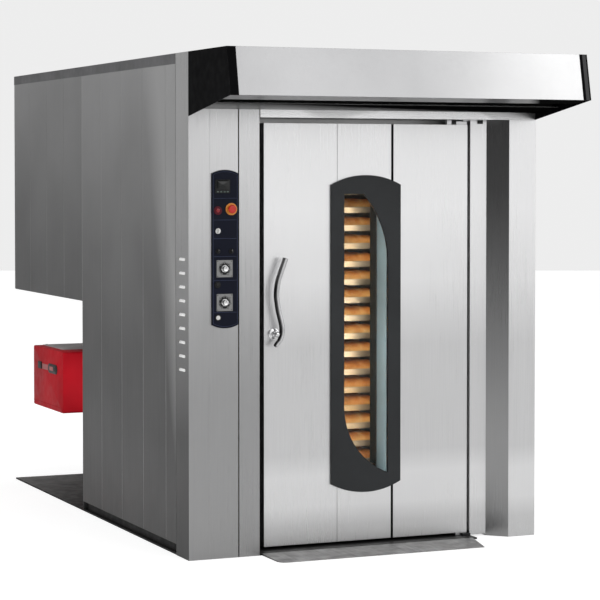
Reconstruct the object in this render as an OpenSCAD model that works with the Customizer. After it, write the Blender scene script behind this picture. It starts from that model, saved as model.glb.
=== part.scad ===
// Rotating rack oven: floor standing, one swing door, rear heat exchanger block with a side burner.
// The sizes below run from the left side (X), the front face (Y) and the floor (Z).
// The finished model stands with the middle of its footprint at the origin.

/* [Body] */
// Width of the oven
body_w = 1745; // [1720:5:1800]
// Depth from the front face to the rear wall
body_d = 2783; // [2760:1:2850]
// Height of the roof
body_h = 2250; // [2230:1:2300]
// Depth of the left side below the burner niche
lower_d = 1545; // [1530:5:1600]
// Reach of the burner niche in from the left side
niche_w = 430; // [420:5:440]
// Height of the ceiling of the burner niche
niche_h = 1069; // [1020:1:1120]
// Gap between the side panels and the floor
kick_h = 50; // [40:1:60]
// Height of the dark trim round the roof
roof_trim_h = 47; // [30:1:70]

/* [Sheet metal] */
// Thickness of the outer sheets
skin = 2; // [1.5:0.1:3]
// Width of the groove between two panels
seam = 4; // [2:0.5:6]
// Thickness of the base plate
base_t = 8; // [6:1:10]
// Thickness of the insulation round the chamber
wool_t = 96; // [60:1:98]

/* [Front] */
// Width of the corner post's front
post_w = 100; // [80:1:120]
// Depth of the corner posts along the side
post_d = 162; // [140:1:200]
// Width of the cover strip behind the controls
channel_w = 135; // [133:1:137]
// Groove between the cover strip and the left jamb
jamb_groove = 5; // [3:1:8]
// Width of the left jamb
jamb_w = 98; // [80:1:110]
// Open gap between the left jamb and the door
latch_gap = 54; // [50:1:60]
// Gap between the door and the hinge jamb
hinge_gap = 15; // [14:1:20]
// Width of the hinge jamb
hinge_jamb_w = 86; // [60:1:100]
// Chamfer on the inner corner of the right pillar
pillar_chamfer = 78; // [60:1:79]
// Gap between the top of the door and the header
head_gap = 23; // [22:1:30]

/* [Door] */
// Width of the door
door_w = 1033; // [1020:1:1045]
// Height of the door
door_h = 1919; // [1900:1:1940]
// Thickness of the door
door_t = 120; // [112:1:124]
// Distance of the door's front behind the front face
door_recess = 80; // [80:1:86]
// Gap between the base plate and the door
door_lift = 14; // [12:1:20]
// Opening angle that the door reaches
door_open = 110; // [90:1:110]
// Width of the strong groove between two door skins
door_groove = 12; // [6:1:14]
// Depth of that groove
door_groove_d = 10; // [4:1:20]
// Diameter of the pins that the door turns on
pivot_d = 20; // [14:1:24]
// Place of the pins in from the hinge edge and the front of the door
pivot_inset = 30; // [29:1:31]

/* [Window] */
// Left edge of the glass from the latch edge of the door
win_x = 393; // [380:1:410]
// Width of the glass
win_w = 223; // [200:1:240]
// Lowest point of the glass above the bottom of the door
win_z = 309; // [290:1:330]
// Height of the glass
win_h = 1289; // [1250:1:1320]
// Straight run along the top of the glass
win_flat = 100; // [80:1:120]
// Height of the curve at the top right of the glass
win_top_rise = 318; // [280:1:340]
// Height of the curve at the bottom left of the glass
win_low_rise = 314; // [280:1:340]
// Width of the black frame beside the glass
win_frame = 64; // [55:1:70]
// Rise of the arched ends of the frame
win_arch = 44; // [30:1:60]
// How far the frame stands out of the door
win_proud = 12; // [6:1:16]
// Thickness of the glass
glass_t = 6; // [4:1:8]

/* [Handle] */
// Height of the handle's axis above the bottom of the door
handle_z = 966; // [940:1:1000]
// Distance of the handle's axis from the latch edge
handle_x = 46; // [44:1:50]
// Height of the lever above its axis
lever_up = 344; // [300:1:360]
// Distance of the lever's middle in front of the door
lever_out = 46; // [40:1:56]
// Radius of the lever's grip
lever_r = 11; // [8:0.5:13]

/* [Controls] */
// Width of the control panel
panel_w = 126; // [120:1:134]
// Bottom of the control panel above the floor
panel_z = 1043; // [1000:1:1080]
// Height of the control panel between its arched ends
panel_h = 671; // [660:1:690]
// Thickness of the control panel
panel_t = 8; // [6:1:10]
// Travel of the push buttons
button_travel = 4; // [2:0.5:5]
// Travel of the emergency stop
estop_travel = 6; // [4:0.5:8]

/* [Canopy] */
// Reach of the canopy's top edge in front of the body
canopy_top_d = 463; // [430:1:480]
// Reach of the canopy's lower edge in front of the body
canopy_low_d = 504; // [490:1:540]
// Height of the fascia
fascia_h = 207; // [190:1:215]
// Height of the end cap's lower edge above the header's lower edge
cap_lift = 2; // [1:1:10]
// Width of the black end caps
cap_w = 40; // [30:1:60]
// Width of the lip folded back under the fascia
lip_w = 150; // [100:1:180]
// Width of the steam slot behind the lip
slot_w = 130; // [80:1:160]

/* [Chamber] */
// Width of the baking chamber
chamber_w = 1160; // [1130:5:1160]
// Depth of the baking chamber
chamber_d = 1200; // [1190:5:1220]
// Height of the baking chamber's ceiling
chamber_top = 1930; // [1920:1:1940]
// Clear width of the portal behind the door
portal_w = 937; // [930:1:945]
// Distance of the rack's axis behind the portal
rack_back = 630; // [620:1:640]

/* [Rack] */
// Width of the rack
rack_w = 600; // [580:5:620]
// Depth of the rack
rack_d = 800; // [780:5:820]
// Number of trays
levels = 18; // [14:1:18]
// Height from one tray to the next
level_pitch = 86; // [84:1:88]
// Height of the lowest tray
first_level = 235; // [225:1:250]
// Height of the tray's rim
tray_rim = 28; // [15:1:32]
// Height of the loaves above the tray
loaf_h = 68; // [40:1:70]
// Diameter of the castor wheels
castor_d = 100; // [80:5:110]
// Diameter of the vertical spindle
spindle_d = 40; // [30:1:50]

/* [Burner] */
// Distance of the burner behind the niche's front wall
burner_gap = 348; // [300:1:380]
// Length of the burner along the oven
burner_d = 540; // [500:1:560]
// Width of the burner
burner_w = 330; // [300:5:360]
// Lowest point of the burner
burner_z = 458; // [400:1:470]
// Height of the burner
burner_h = 322; // [300:1:350]
// Diameter of the burner tube
burner_tube_d = 150; // [120:5:180]

/* [Roof] */
// Outer diameter of the flue collar
flue_d = 150; // [120:1:180]
// Outer diameter of the steam collar
steam_d = 120; // [100:1:150]
// Height of the collars above the roof
collar_h = 70; // [50:1:75]

/* [Ramp] */
// Reach of the ramp in front of the oven
ramp_d = 210; // [180:5:240]
// Thickness of the ramp's front edge
ramp_edge = 3; // [2:0.5:4]

/* [Hidden] */

// Clearances: a shaft in its bore, a loose piece beside another, a seal before its seat
running = 0.05;
loose = 0.5;
seal_gap = 1;
// Overlap of a cutting body past the face it cuts
past = 1;
// Gap between two sheets that meet edge to edge
joint_gap = 0.5;
round_fn = 48;

// Places along X, from the left side
groove_x = post_w + channel_w;
jamb_x = groove_x + jamb_groove;
jamb_end = jamb_x + jamb_w;
door_x = jamb_end + latch_gap;
door_end = door_x + door_w;
hinge_jamb_x = door_end + hinge_gap;
pillar_x = hinge_jamb_x + hinge_jamb_w;
pillar_face_x = pillar_x + pillar_chamfer;
mid_x = door_x + door_w / 2;
chamber_x0 = mid_x - chamber_w / 2;
chamber_x1 = mid_x + chamber_w / 2;
portal_x0 = mid_x - portal_w / 2;
portal_x1 = mid_x + portal_w / 2;

// Places along Y, from the front face
mid_y = (body_d - canopy_low_d) / 2;
door_y = door_recess;
door_back = door_y + door_t;
gasket_t = 5;
portal_y = door_back + gasket_t + seal_gap;
portal_t = 10;
chamber_y = portal_y + portal_t;
chamber_back = chamber_y + chamber_d;
wall_back = chamber_back + joint_gap + skin;
rack_y = chamber_y + rack_back - portal_t;

// Places along Z, from the floor
door_z = base_t + door_lift;
door_top = door_z + door_h;
header_z = door_top + head_gap;
trim_z = body_h - roof_trim_h;
floor_t = 6;
floor_z = base_t + floor_t;
wool_top = chamber_top + joint_gap + skin + wool_t;

// The door's pins
pivot_x = door_end - pivot_inset;
pivot_y = door_y + pivot_inset;
boss_w = 56;
pivot_gap = 2;
bracket_reach = 32;
bracket_half = 18;
bracket_t = 5;
block_x = pivot_x - 77;
block_w = 24;
block_d = 18;

// The window: a leaf-shaped hole with two square corners and two long curves
leaf_x0 = door_x + win_x;
leaf_x1 = leaf_x0 + win_w;
leaf_z0 = door_z + win_z;
leaf_z1 = leaf_z0 + win_h;
top_run = win_w - win_flat;
top_r = (top_run * top_run + win_top_rise * win_top_rise) / (2 * top_run);
low_r = (win_w * win_w + win_low_rise * win_low_rise) / (2 * win_w);
glass_rim = 11;
arc_steps = 16;

// The handle and its latch
axis_x = door_x + handle_x;
axis_z = door_z + handle_z;
spindle_r = 10;
latch_y = door_y + 60;
latch_reach = 68;
roller_r = 12;
roller_w = 12;

// The rack, which hangs from the spindle
rack_bar = 25;
rack_top = first_level + levels * level_pitch + 30;
rack_foot = floor_z + 122;
castor_lift = 8;
castor_w = 30;
castor_z = floor_z + castor_lift + castor_d / 2;
castor_inset = 45;
castor_pin_r = 8;
hanger_z = rack_top + 12;

// The gearbox on the ceiling, and how far the spindle reaches up in it
gear_half = 75;
gear_h = 120;
gear_foot = 6;
spindle_up = 100;

// The fan in the space behind the chamber
fan_r = 170;
fan_z = 1500;
fan_y = chamber_back + 40;
fan_w = 70;
motor_shaft_r = 12;
motor_r = 80;
motor_l = 196;
arm_w = 40;

// The troughs behind the chamber that make the steam
troughs = 5;
trough_z = 300;
trough_pitch = 150;
trough_x0 = mid_x + 120;
trough_x1 = chamber_x1 - 100;
trough_d = 98;
bar_r = 13;

// The burner and the drum it fires into
burner_y = lower_d + burner_gap;
fire_y = burner_y + burner_d / 2;
fire_z = burner_z + burner_h / 2;

// Roof collars
flue_x = body_w - 520;
flue_y = body_d - 520;
steam_x = body_w - 520;
steam_y = 1300;

// Anchor holes through the base plate
anchor_r = 9;
anchor_x0 = niche_w + 90;
anchor_x1 = body_w - 90;
anchor_y0 = chamber_back + 60;
anchor_y1 = body_d - 90;

// Plinth rails
plinth_in = 22;
plinth_w = 40;
plinth_top = kick_h + 12;

// Vent slots in the corner post
vents = 9;
vent_r = 7;
vent_y0 = 44;
vent_y1 = 130;
vent_z = 841;
vent_pitch = 61.5;

// Outer panels
first_seam = 300;
rear_count = 4;
portal_top = chamber_top - 40;

// Canopy
cap_wall = 3;
baffle_z = header_z + 35;
fascia_z = body_h - fascia_h;

// Roof collars
collar_t = 3;
collar_flange = 30;

// Control panel
panel_x0 = groove_x - panel_w - 1;
panel_x1 = panel_x0 + panel_w;
panel_top = panel_z + panel_h;
panel_rise = 16;
panel_lap = 10;

// Chamber
air_slots = 5;
air_slot_w = 12;

// Heat exchanger
drum_r = 230;
drum_x0 = niche_w + 60;
drum_x1 = body_w - 190;
drum_z1 = fire_z + drum_r;
drum_bore = 60;
plate_t = 5;
tubes = 9;
tube_r = 36;
tube_x0 = drum_x0 + 90;
tube_x1 = drum_x1 - 95;
tube_pitch = (tube_x1 - tube_x0) / (tubes - 1);
tube_l = 900;
tube_top = drum_z1 + tube_l;
header_h = 160;
flue_pipe_r = flue_d / 2 - collar_t - 3;

// Ramp outline
ramp_x0 = jamb_end + 12;
ramp_x1 = door_end - 8;
ramp_round = 40;
ramp_skew = 51;

// Places of the controls, from the panel's left edge and bottom
red_at = [panel_x0 + 27, panel_z + 507];
estop_at = [panel_x0 + 91, panel_z + 513];
mode_at = [panel_x0 + 27, panel_z + 416];
left_at = [panel_x0 + 27, panel_z + 326];
right_at = [panel_x0 + 91, panel_z + 326];
upper_at = [panel_x0 + 59, panel_z + 249];
lower_at = [panel_x0 + 59, panel_z + 99];
black_at = [panel_x0 + 25, panel_z + 178];
white_at = [panel_x0 + 27, panel_z + 32];
display_z = panel_z + 586;
ring_r = 15;
button_r = 10;
estop_stem_r = 9;
knob_shaft_r = 4;
dial_w = 76;
dial_t = 2;

// Door fittings
gasket_in = 25;
gasket_w = 20;
lamp_d = 80;
lamp_w = 60;

// Route of the lever from its hooked end to its tip, from the handle's axis, along X and Z
lever_path = [
    [10, -55], [14, -30], [8, -10], [4, 0], [10, 24], [15, 45], [12, 72], [2, 105], [-8, 140], [-13, 175],
    [-12, 210], [-6, 245], [3, 280], [12, lever_up - 30], [20, lever_up - 8], [22, lever_up]
];
lever_radii = [
    for (i = [0 : len(lever_path) - 1])
        lever_r * (i == 0 || i == len(lever_path) - 1 ? 0.55 : i < 3 ? 0.85 : 1)
];

// Rack fittings
runner_w = 16;
runner_t = 3;
tray_t = 1.5;
loaf_rows = 6;
loaf_join = 8;

function arc(cx, cy, r, from, to, n) = [
    for (i = [0 : n])
        [cx + r * cos(from + (to - from) * i / n), cy + r * sin(from + (to - from) * i / n)]
];

// Outline of the window's hole, grown outwards by g, as points along X and Z
function leaf(g) = let (
    tr = top_r + g,
    lr = low_r + g,
    tcx = leaf_x1 - top_r,
    tcz = leaf_z1 - win_top_rise,
    lcx = leaf_x0 + low_r,
    lcz = leaf_z0 + win_low_rise,
    ta = asin((win_top_rise + g) / tr),
    la = asin((win_low_rise + g) / lr)
) concat(
    [[leaf_x0 - g, leaf_z1 + g]],
    arc(tcx, tcz, tr, ta, 0, arc_steps),
    [[leaf_x1 + g, leaf_z0 - g]],
    arc(lcx, lcz, lr, 180 + la, 180, arc_steps)
);

// Square outline of the panes behind the leaf, grown outwards by g
function pane(g) = [
    [leaf_x0 - g, leaf_z0 - g], [leaf_x1 + g, leaf_z0 - g], [leaf_x1 + g, leaf_z1 + g],
    [leaf_x0 - g, leaf_z1 + g]
];

// Outline of a strip between x0 and x1 with straight sides from z0 to z1 and arched ends
function arched(x0, x1, z0, z1, rise) = let (
    half = (x1 - x0) / 2,
    r = (half * half + rise * rise) / (2 * rise),
    a = asin(half / r),
    cx = (x0 + x1) / 2
) concat(
    arc(cx, z1 + rise - r, r, 90 - a, 90 + a, arc_steps),
    arc(cx, z0 - rise + r, r, 270 - a, 270 + a, arc_steps)
);

// Height of the canopy's sloping underside at depth y in front of the body
function under_z(y) = baffle_z - (fascia_z - baffle_z) * y / canopy_low_d;

// Moves a piece from the measuring corner to the model's own origin
module place() {
    translate([-body_w / 2, -mid_y, 0])
        children();
}

module box(x0, x1, y0, y1, z0, z1) {
    translate([x0, y0, z0])
        cube([x1 - x0, y1 - y0, z1 - z0]);
}

// A slab with an outline along X and Z, between y0 and y1
module upright(points, y0, y1) {
    translate([0, y1, 0])
        rotate([90, 0, 0])
            linear_extrude(y1 - y0)
                polygon(points);
}

// A bar with an outline along Y and Z, between x0 and x1
module along_x(points, x0, x1) {
    translate([x0, 0, 0])
        rotate([90, 0, 90])
            linear_extrude(x1 - x0)
                polygon(points);
}

// Round bars along the three directions, each given by its axis, radius and ends
module rod_x(y, z, r, x0, x1) {
    translate([x0, y, z])
        rotate([0, 90, 0])
            cylinder(r = r, h = x1 - x0, $fn = round_fn);
}

module rod_y(x, z, r, y0, y1) {
    translate([x, y1, z])
        rotate([90, 0, 0])
            cylinder(r = r, h = y1 - y0, $fn = round_fn);
}

module rod_z(x, y, r, z0, z1) {
    translate([x, y, z0])
        cylinder(r = r, h = z1 - z0, $fn = round_fn);
}

// ---- Base, posts and front ----

// Plate under the whole oven and the burner niche, with the rails welded on it that make the plinth
module base_plate() {
    color("dimgray") place() {
        difference() {
            linear_extrude(base_t)
                polygon([
                    [skin, skin], [hinge_jamb_x, skin], [hinge_jamb_x, post_d], [body_w - skin, post_d],
                    [body_w - skin, body_d], [skin, body_d]
                ]);
            for (x = [anchor_x0, anchor_x1], y = [anchor_y0, anchor_y1])
                rod_z(x, y, anchor_r, -past, base_t + past);
        }
        box(plinth_in, plinth_in + plinth_w, post_d, lower_d - plinth_in, base_t, plinth_top);
        box(body_w - plinth_in - plinth_w, body_w - plinth_in, post_d, body_d - plinth_in,
            base_t, plinth_top);
        box(niche_w + plinth_in, body_w - 2 * plinth_in - plinth_w, body_d - plinth_in - plinth_w,
            body_d - plinth_in, base_t, plinth_top);
    }
}

// Left front corner: a folded sheet with vent slots in its side
module corner_post() {
    color("silver") place()
        difference() {
            union() {
                box(0, post_w, 0, skin, 0, body_h);
                box(0, skin, 0, post_d, 0, body_h);
            }
            for (i = [0 : vents - 1])
                vent_slot(vent_z + i * vent_pitch);
        }
}

module vent_slot(z) {
    for (y = [vent_y0 + vent_r, vent_y1 - vent_r])
        rod_x(y, z, vent_r, -past, skin + past);
    box(-past, skin + past, vent_y0 + vent_r, vent_y1 - vent_r, z - vent_r, z + vent_r);
}

// Cover strip of the wiring channel, cut out behind the control panel
module channel_cover() {
    color("silver") place()
        difference() {
            box(post_w, groove_x, 0, skin, 0, body_h);
            box(panel_x0 + panel_lap, panel_x1 - panel_lap, -past, skin + past, panel_z + panel_lap,
                panel_top - panel_lap);
        }
}

module left_jamb() {
    color("silver") place() {
        box(jamb_x, jamb_end, 0, skin, 0, body_h);
        box(jamb_end - skin, jamb_end, 0, portal_y, base_t, header_z);
    }
}

// Sheet over the door, with a lip that closes the top of the recess
module header_panel() {
    color("silver") place() {
        box(jamb_end + seam, body_w, 0, skin, header_z, body_h);
        box(body_w - skin, body_w, 0, post_d, header_z, body_h);
        box(jamb_end + seam, pillar_x, 0, portal_y, header_z, header_z + skin);
    }
}

// Right pillar: a folded sheet with a chamfered inner corner
module right_pillar() {
    slant = skin * sqrt(2);
    color("silver") place()
        linear_extrude(header_z)
            difference() {
                polygon([
                    [pillar_x, door_y], [pillar_face_x, door_y - pillar_chamfer],
                    [pillar_face_x, 0], [body_w, 0], [body_w, post_d], [pillar_x, post_d]
                ]);
                polygon([
                    [pillar_x + slant, door_y + slant - skin], [pillar_face_x + slant - skin, skin],
                    [body_w - skin, skin], [body_w - skin, post_d + past], [pillar_x + slant, post_d + past]
                ]);
            }
}

module hinge_jamb() {
    color("silver") place() {
        box(hinge_jamb_x, pillar_x, door_y, door_y + skin, base_t, header_z);
        box(hinge_jamb_x, hinge_jamb_x + skin, door_y, portal_y, base_t, header_z);
    }
}

// Flat frame that the door's gasket closes on
module door_portal() {
    color("black") place() {
        box(chamber_x0 - skin, portal_x0, portal_y, chamber_y, floor_z, header_z);
        box(portal_x1, pillar_x, portal_y, chamber_y, floor_z, header_z);
        box(portal_x0 + joint_gap, portal_x1 - joint_gap, portal_y, chamber_y, portal_top, header_z);
    }
}

// ---- Outer panels ----

// Upright side panels between y0 and y1, with a groove between each two
module side_run(x, y0, y1, z0, count) {
    pitch = (y1 - y0) / count;
    for (i = [0 : count - 1])
        box(x, x + skin, y0 + i * pitch, y0 + (i + 1) * pitch - seam, z0, trim_z);
}

module left_side_panels() {
    color("gray") place() {
        side_run(0, post_d + seam, first_seam, kick_h, 1);
        side_run(0, first_seam, lower_d, kick_h, 4);
        side_run(0, lower_d, body_d, niche_h, 4);
    }
}

module right_side_panels() {
    color("gray") place() {
        side_run(body_w - skin, post_d + seam, first_seam, kick_h, 1);
        side_run(body_w - skin, first_seam, body_d, kick_h, 8);
    }
}

module rear_panels() {
    pitch = (body_w - skin - niche_w) / rear_count;
    color("gray") place() {
        box(skin, niche_w - seam, body_d - skin, body_d, niche_h, trim_z);
        for (i = [0 : rear_count - 1])
            box(niche_w + i * pitch, niche_w + (i + 1) * pitch - seam, body_d - skin, body_d,
                kick_h, trim_z);
    }
}

// The burner niche: its front wall, side wall and ceiling
module niche_walls() {
    color("gray") place() {
        box(skin, niche_w - joint_gap, lower_d - skin, lower_d, base_t, niche_h - skin - joint_gap);
        difference() {
            box(niche_w, niche_w + skin, lower_d - skin, body_d - skin - seam, base_t, niche_h);
            rod_x(fire_y, fire_z, burner_tube_d / 2 + loose, niche_w - past, niche_w + skin + past);
        }
        box(skin, niche_w - joint_gap, lower_d - skin, body_d - skin - seam, niche_h - skin, niche_h);
    }
}

module roof_deck() {
    color("gray") place()
        difference() {
            box(skin, body_w - skin, skin, body_d - skin, body_h - skin, body_h);
            rod_z(flue_x, flue_y, flue_d / 2 - collar_t, body_h - skin - past, body_h + past);
            rod_z(steam_x, steam_y, steam_d / 2 - collar_t, body_h - skin - past, body_h + past);
        }
}

// Dark folded edge of the roof along both sides and the rear
module roof_trim() {
    color("dimgray") place() {
        box(0, skin, post_d, body_d, trim_z, body_h);
        box(body_w - skin, body_w, post_d, body_d, trim_z, body_h);
        box(skin, body_w - skin, body_d - skin, body_d, trim_z, body_h);
    }
}

// Two round duct collars with their flanges on the roof
module roof_collars() {
    color("lightgray") place() {
        collar(flue_x, flue_y, flue_d);
        collar(steam_x, steam_y, steam_d);
    }
}

module collar(x, y, d) {
    difference() {
        union() {
            rod_z(x, y, d / 2, body_h, body_h + collar_h);
            rod_z(x, y, d / 2 + collar_flange, body_h, body_h + collar_t);
        }
        rod_z(x, y, d / 2 - collar_t, body_h - past, body_h + collar_h + past);
    }
}

// ---- Canopy ----

// One folded sheet: top, inclined fascia and a return lip along the lower edge
module canopy_hood() {
    lip_y = -canopy_low_d + lip_w;
    fold_y = -canopy_low_d + skin;
    tongue_y = -canopy_low_d + 2 * cap_wall + loose;
    color("silver") place() {
        along_x([
            [0, body_h], [-canopy_top_d, body_h], [-canopy_low_d, fascia_z], [lip_y, under_z(lip_y)],
            [lip_y, under_z(lip_y) + skin], [fold_y, under_z(fold_y) + skin],
            [-canopy_top_d + skin, body_h - skin], [0, body_h - skin]
        ], cap_w, body_w - cap_w);
        along_x([
            [tongue_y, under_z(tongue_y)], [lip_y, under_z(lip_y)], [lip_y, under_z(lip_y) + skin],
            [tongue_y, under_z(tongue_y) + skin]
        ], cap_wall + loose, body_w - cap_wall - loose);
    }
}

// The black end caps, hollow on the side that faces the hood
module canopy_end_caps() {
    color("black") place() {
        end_cap(0, cap_wall);
        end_cap(body_w - cap_w, cap_w - cap_wall);
    }
}

// A closed plate cap_wall thick at wall_at, with a rim along the front and top
module end_cap(x, wall_at) {
    rear_z = header_z + cap_lift;
    rim_z = fascia_z - 2 * cap_wall * (fascia_z - rear_z) / canopy_low_d;
    plate_x = wall_at == cap_wall ? x : x + wall_at;
    color("black") {
        along_x([[0, body_h], [-canopy_top_d, body_h], [-canopy_low_d, fascia_z], [0, rear_z]],
            plate_x, plate_x + cap_wall);
        rim_x0 = wall_at == cap_wall ? x + cap_wall : x;
        along_x([
            [0, body_h], [-canopy_top_d, body_h], [-canopy_low_d, fascia_z],
            [-canopy_low_d + 2 * cap_wall, rim_z], [-canopy_low_d + 2 * cap_wall, fascia_z + cap_wall],
            [-canopy_top_d + cap_wall, body_h - cap_wall], [0, body_h - cap_wall]
        ], rim_x0, rim_x0 + cap_w - cap_wall);
    }
}

// Rear half of the canopy's underside, which leaves the steam slot free behind the lip
module canopy_baffle() {
    front = -canopy_low_d + lip_w + slot_w;
    color("gray") place()
        along_x([
            [front, under_z(front)], [0, baffle_z], [0, baffle_z + skin], [front, under_z(front) + skin]
        ], cap_wall + loose, body_w - cap_wall - loose);
}

// ---- Chamber and heat ----

// Left wall with air slots, right wall, rear wall with the fan's inlet, ceiling
module chamber_walls() {
    slot_pitch = chamber_d / (air_slots + 1);
    color("lightgray") place() {
        difference() {
            box(chamber_x0 - skin, chamber_x0, chamber_y, chamber_back, floor_z, chamber_top);
            for (i = [1 : air_slots])
                box(chamber_x0 - skin - past, chamber_x0 + past, chamber_y + i * slot_pitch,
                    chamber_y + i * slot_pitch + air_slot_w, rack_foot, rack_top);
        }
        box(chamber_x1, chamber_x1 + skin, chamber_y, chamber_back, floor_z, chamber_top);
        difference() {
            box(chamber_x0 - skin, chamber_x1 + skin, chamber_back + joint_gap, wall_back,
                floor_z, chamber_top);
            rod_y(mid_x, fan_z, fan_r - 20, chamber_back - past, chamber_back + 2 * skin + past);
        }
        difference() {
            box(chamber_x0 - skin, chamber_x1 + skin, chamber_y, chamber_back + skin, chamber_top + joint_gap,
                chamber_top + joint_gap + skin);
            rod_z(mid_x, rack_y, spindle_d / 2 + 2, chamber_top - past, chamber_top + 2 * skin + past);
        }
    }
}

module chamber_floor() {
    color("lightgray") place()
        box(chamber_x0 - skin, chamber_x1 + skin, portal_y, wall_back, base_t, floor_z);
}

// Mineral wool slabs outside the chamber's side walls and on its ceiling
module insulation() {
    color("khaki") place() {
        box(chamber_x0 - skin - wool_t, chamber_x0 - skin, chamber_y, chamber_back, floor_z, chamber_top);
        box(chamber_x1 + skin, chamber_x1 + skin + wool_t, chamber_y, chamber_back, floor_z, chamber_top);
        difference() {
            box(chamber_x0 - skin - wool_t, chamber_x1 + skin + wool_t, chamber_y, chamber_back,
                wool_top - wool_t, wool_top);
            rod_z(mid_x, rack_y, spindle_d / 2 + 4, chamber_top, wool_top + past);
        }
    }
}

// Drum that the burner fires into, tube bank, header box and flue pipe
module heat_exchanger() {
    color("sienna") place() {
        difference() {
            union() {
                rod_x(fire_y, fire_z, drum_r, drum_x0, drum_x1);
                tube_bank(tube_r, fire_z, tube_top);
                box(drum_x0, drum_x1, fire_y - drum_r, fire_y + drum_r, tube_top, tube_top + header_h);
                rod_z(flue_x, flue_y, flue_pipe_r, tube_top + header_h / 2, body_h - skin - 4);
            }
            rod_x(fire_y, fire_z, burner_tube_d / 2 + loose, drum_x0 - past, drum_x0 + drum_bore);
            rod_x(fire_y, fire_z, drum_r - plate_t, drum_x0 + plate_t, drum_x1 - plate_t);
            tube_bank(tube_r - plate_t, fire_z, tube_top + plate_t);
            box(drum_x0 + plate_t, drum_x1 - plate_t, fire_y - drum_r + plate_t, fire_y + drum_r - plate_t,
                tube_top + plate_t, tube_top + header_h - plate_t);
            rod_z(flue_x, flue_y, flue_pipe_r - collar_t, tube_top + header_h - 2 * plate_t, body_h);
        }
        for (x = [drum_x0 + 60, drum_x1 - 100])
            box(x, x + 40, fire_y - 60, fire_y + 60, base_t, fire_z - drum_r + plate_t);
    }
}

// Two rows of upright tubes from the drum to the header box
module tube_bank(r, z0, z1) {
    for (row = [-1, 1], i = [0 : tubes - 1])
        rod_z(tube_x0 + i * tube_pitch, fire_y + row * tube_pitch / 2, r, z0, z1);
}

// Motor on its mounting plate, with the shaft that the impeller is keyed to
module fan_motor() {
    plate_y = fan_y + fan_w + 20;
    plate_half = fan_r + 70;
    arm_x = plate_half - 40;
    color("slategray") place() {
        box(mid_x - plate_half, mid_x + plate_half, plate_y, plate_y + 4,
            fan_z - plate_half, fan_z + plate_half);
        rod_y(mid_x, fan_z, motor_r, plate_y + 4, plate_y + 4 + motor_l);
        rod_y(mid_x, fan_z, motor_shaft_r, fan_y + 6, plate_y);
        for (side = [-1, 1])
            box(mid_x + side * arm_x - arm_w / 2, mid_x + side * arm_x + arm_w / 2, wall_back, plate_y,
                fan_z + fan_r + 30, fan_z + fan_r + 60);
    }
}

// Impeller: a hub and a disc with straight blades
module fan_impeller() {
    color("silver") place()
        difference() {
            union() {
                rod_y(mid_x, fan_z, 32, fan_y, fan_y + fan_w);
                rod_y(mid_x, fan_z, fan_r, fan_y + fan_w - 4, fan_y + fan_w);
                for (i = [0 : 7])
                    translate([mid_x, 0, fan_z])
                        rotate([0, i * 45, 0])
                            box(28, fan_r - 4, fan_y, fan_y + fan_w - 2, -2, 2);
            }
            rod_y(mid_x, fan_z, motor_shaft_r + running, fan_y + 4, fan_y + fan_w + past);
        }
}

// Gearbox and motor above the ceiling; the spindle turns in its bore
module gearmotor() {
    z0 = wool_top;
    color("slategray") place() {
        difference() {
            union() {
                box(mid_x - 190, mid_x + 190, rack_y - 90, rack_y + 90, z0, z0 + gear_foot);
                box(mid_x - gear_half, mid_x + gear_half, rack_y - gear_half, rack_y + gear_half,
                    z0 + gear_foot, z0 + gear_foot + gear_h);
            }
            rod_z(mid_x, rack_y, spindle_d / 2 + running, z0 - past, z0 + spindle_up + gear_foot);
        }
        rod_x(rack_y, z0 + 70, 50, mid_x + gear_half, mid_x + 250);
    }
}

// Stacked troughs with cast bars, sprayed with water to make steam
module steam_generator() {
    color("dimgray") place()
        for (i = [0 : troughs - 1]) {
            z = trough_z + i * trough_pitch;
            box(trough_x0, trough_x1, wall_back, wall_back + trough_d, z, z + 4);
            for (k = [0 : 2])
                rod_x(wall_back + 20 + k * 30, z + 4 + bar_r, bar_r, trough_x0 + 10, trough_x1 - 10);
        }
}

// ---- Burner ----

module burner_casing() {
    color("firebrick") place()
        difference() {
            box(0, burner_w, burner_y, burner_y + burner_d, burner_z, burner_z + burner_h);
            for (k = [-1, 1])
                rod_x(fire_y + k * burner_d * 0.22, burner_z + burner_h * 0.76, 22, -past, 12);
        }
}

// Blast tube from the burner into the drum, with its flange on the niche wall
module burner_tube() {
    color("gray") place()
        difference() {
            union() {
                rod_x(fire_y, fire_z, burner_tube_d / 2, burner_w, drum_x0 + drum_bore - 2);
                rod_x(fire_y, fire_z, burner_tube_d / 2 + 50, niche_w - 12, niche_w);
            }
            rod_x(fire_y, fire_z, burner_tube_d / 2 - 4, burner_w + 6, drum_x0 + drum_bore);
        }
}

// ---- Ramp, pivots and strike ----

// Thin wedge in front of the door, with a rounded left corner and an angled right end
module ramp() {
    color("gray") place()
        intersection() {
            along_x([[skin, 0], [-ramp_d, 0], [-ramp_d, ramp_edge], [skin, base_t]],
                jamb_end, pillar_face_x);
            linear_extrude(base_t + past)
                union() {
                    polygon([
                        [ramp_x0, skin], [ramp_x0, -ramp_d + ramp_round], [ramp_x0 + ramp_round, -ramp_d],
                        [ramp_x1 - ramp_skew, -ramp_d], [ramp_x1, skin]
                    ]);
                    translate([ramp_x0 + ramp_round, -ramp_d + ramp_round])
                        circle(r = ramp_round, $fn = round_fn);
                }
        }
}

// Strike with a shallow valley, which the latch roller rides in and out of
module strike_plate() {
    reach = latch_gap + handle_x - latch_reach - roller_r - 2;
    color("silver") place()
        difference() {
            box(jamb_end, jamb_end + reach, latch_y - 36, latch_y + 36, axis_z - 22, axis_z + 22);
            translate([jamb_end + reach + 12, latch_y, axis_z - 22 - past])
                cylinder(r = 18, h = 44 + 2 * past, $fn = round_fn);
        }
}

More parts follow.
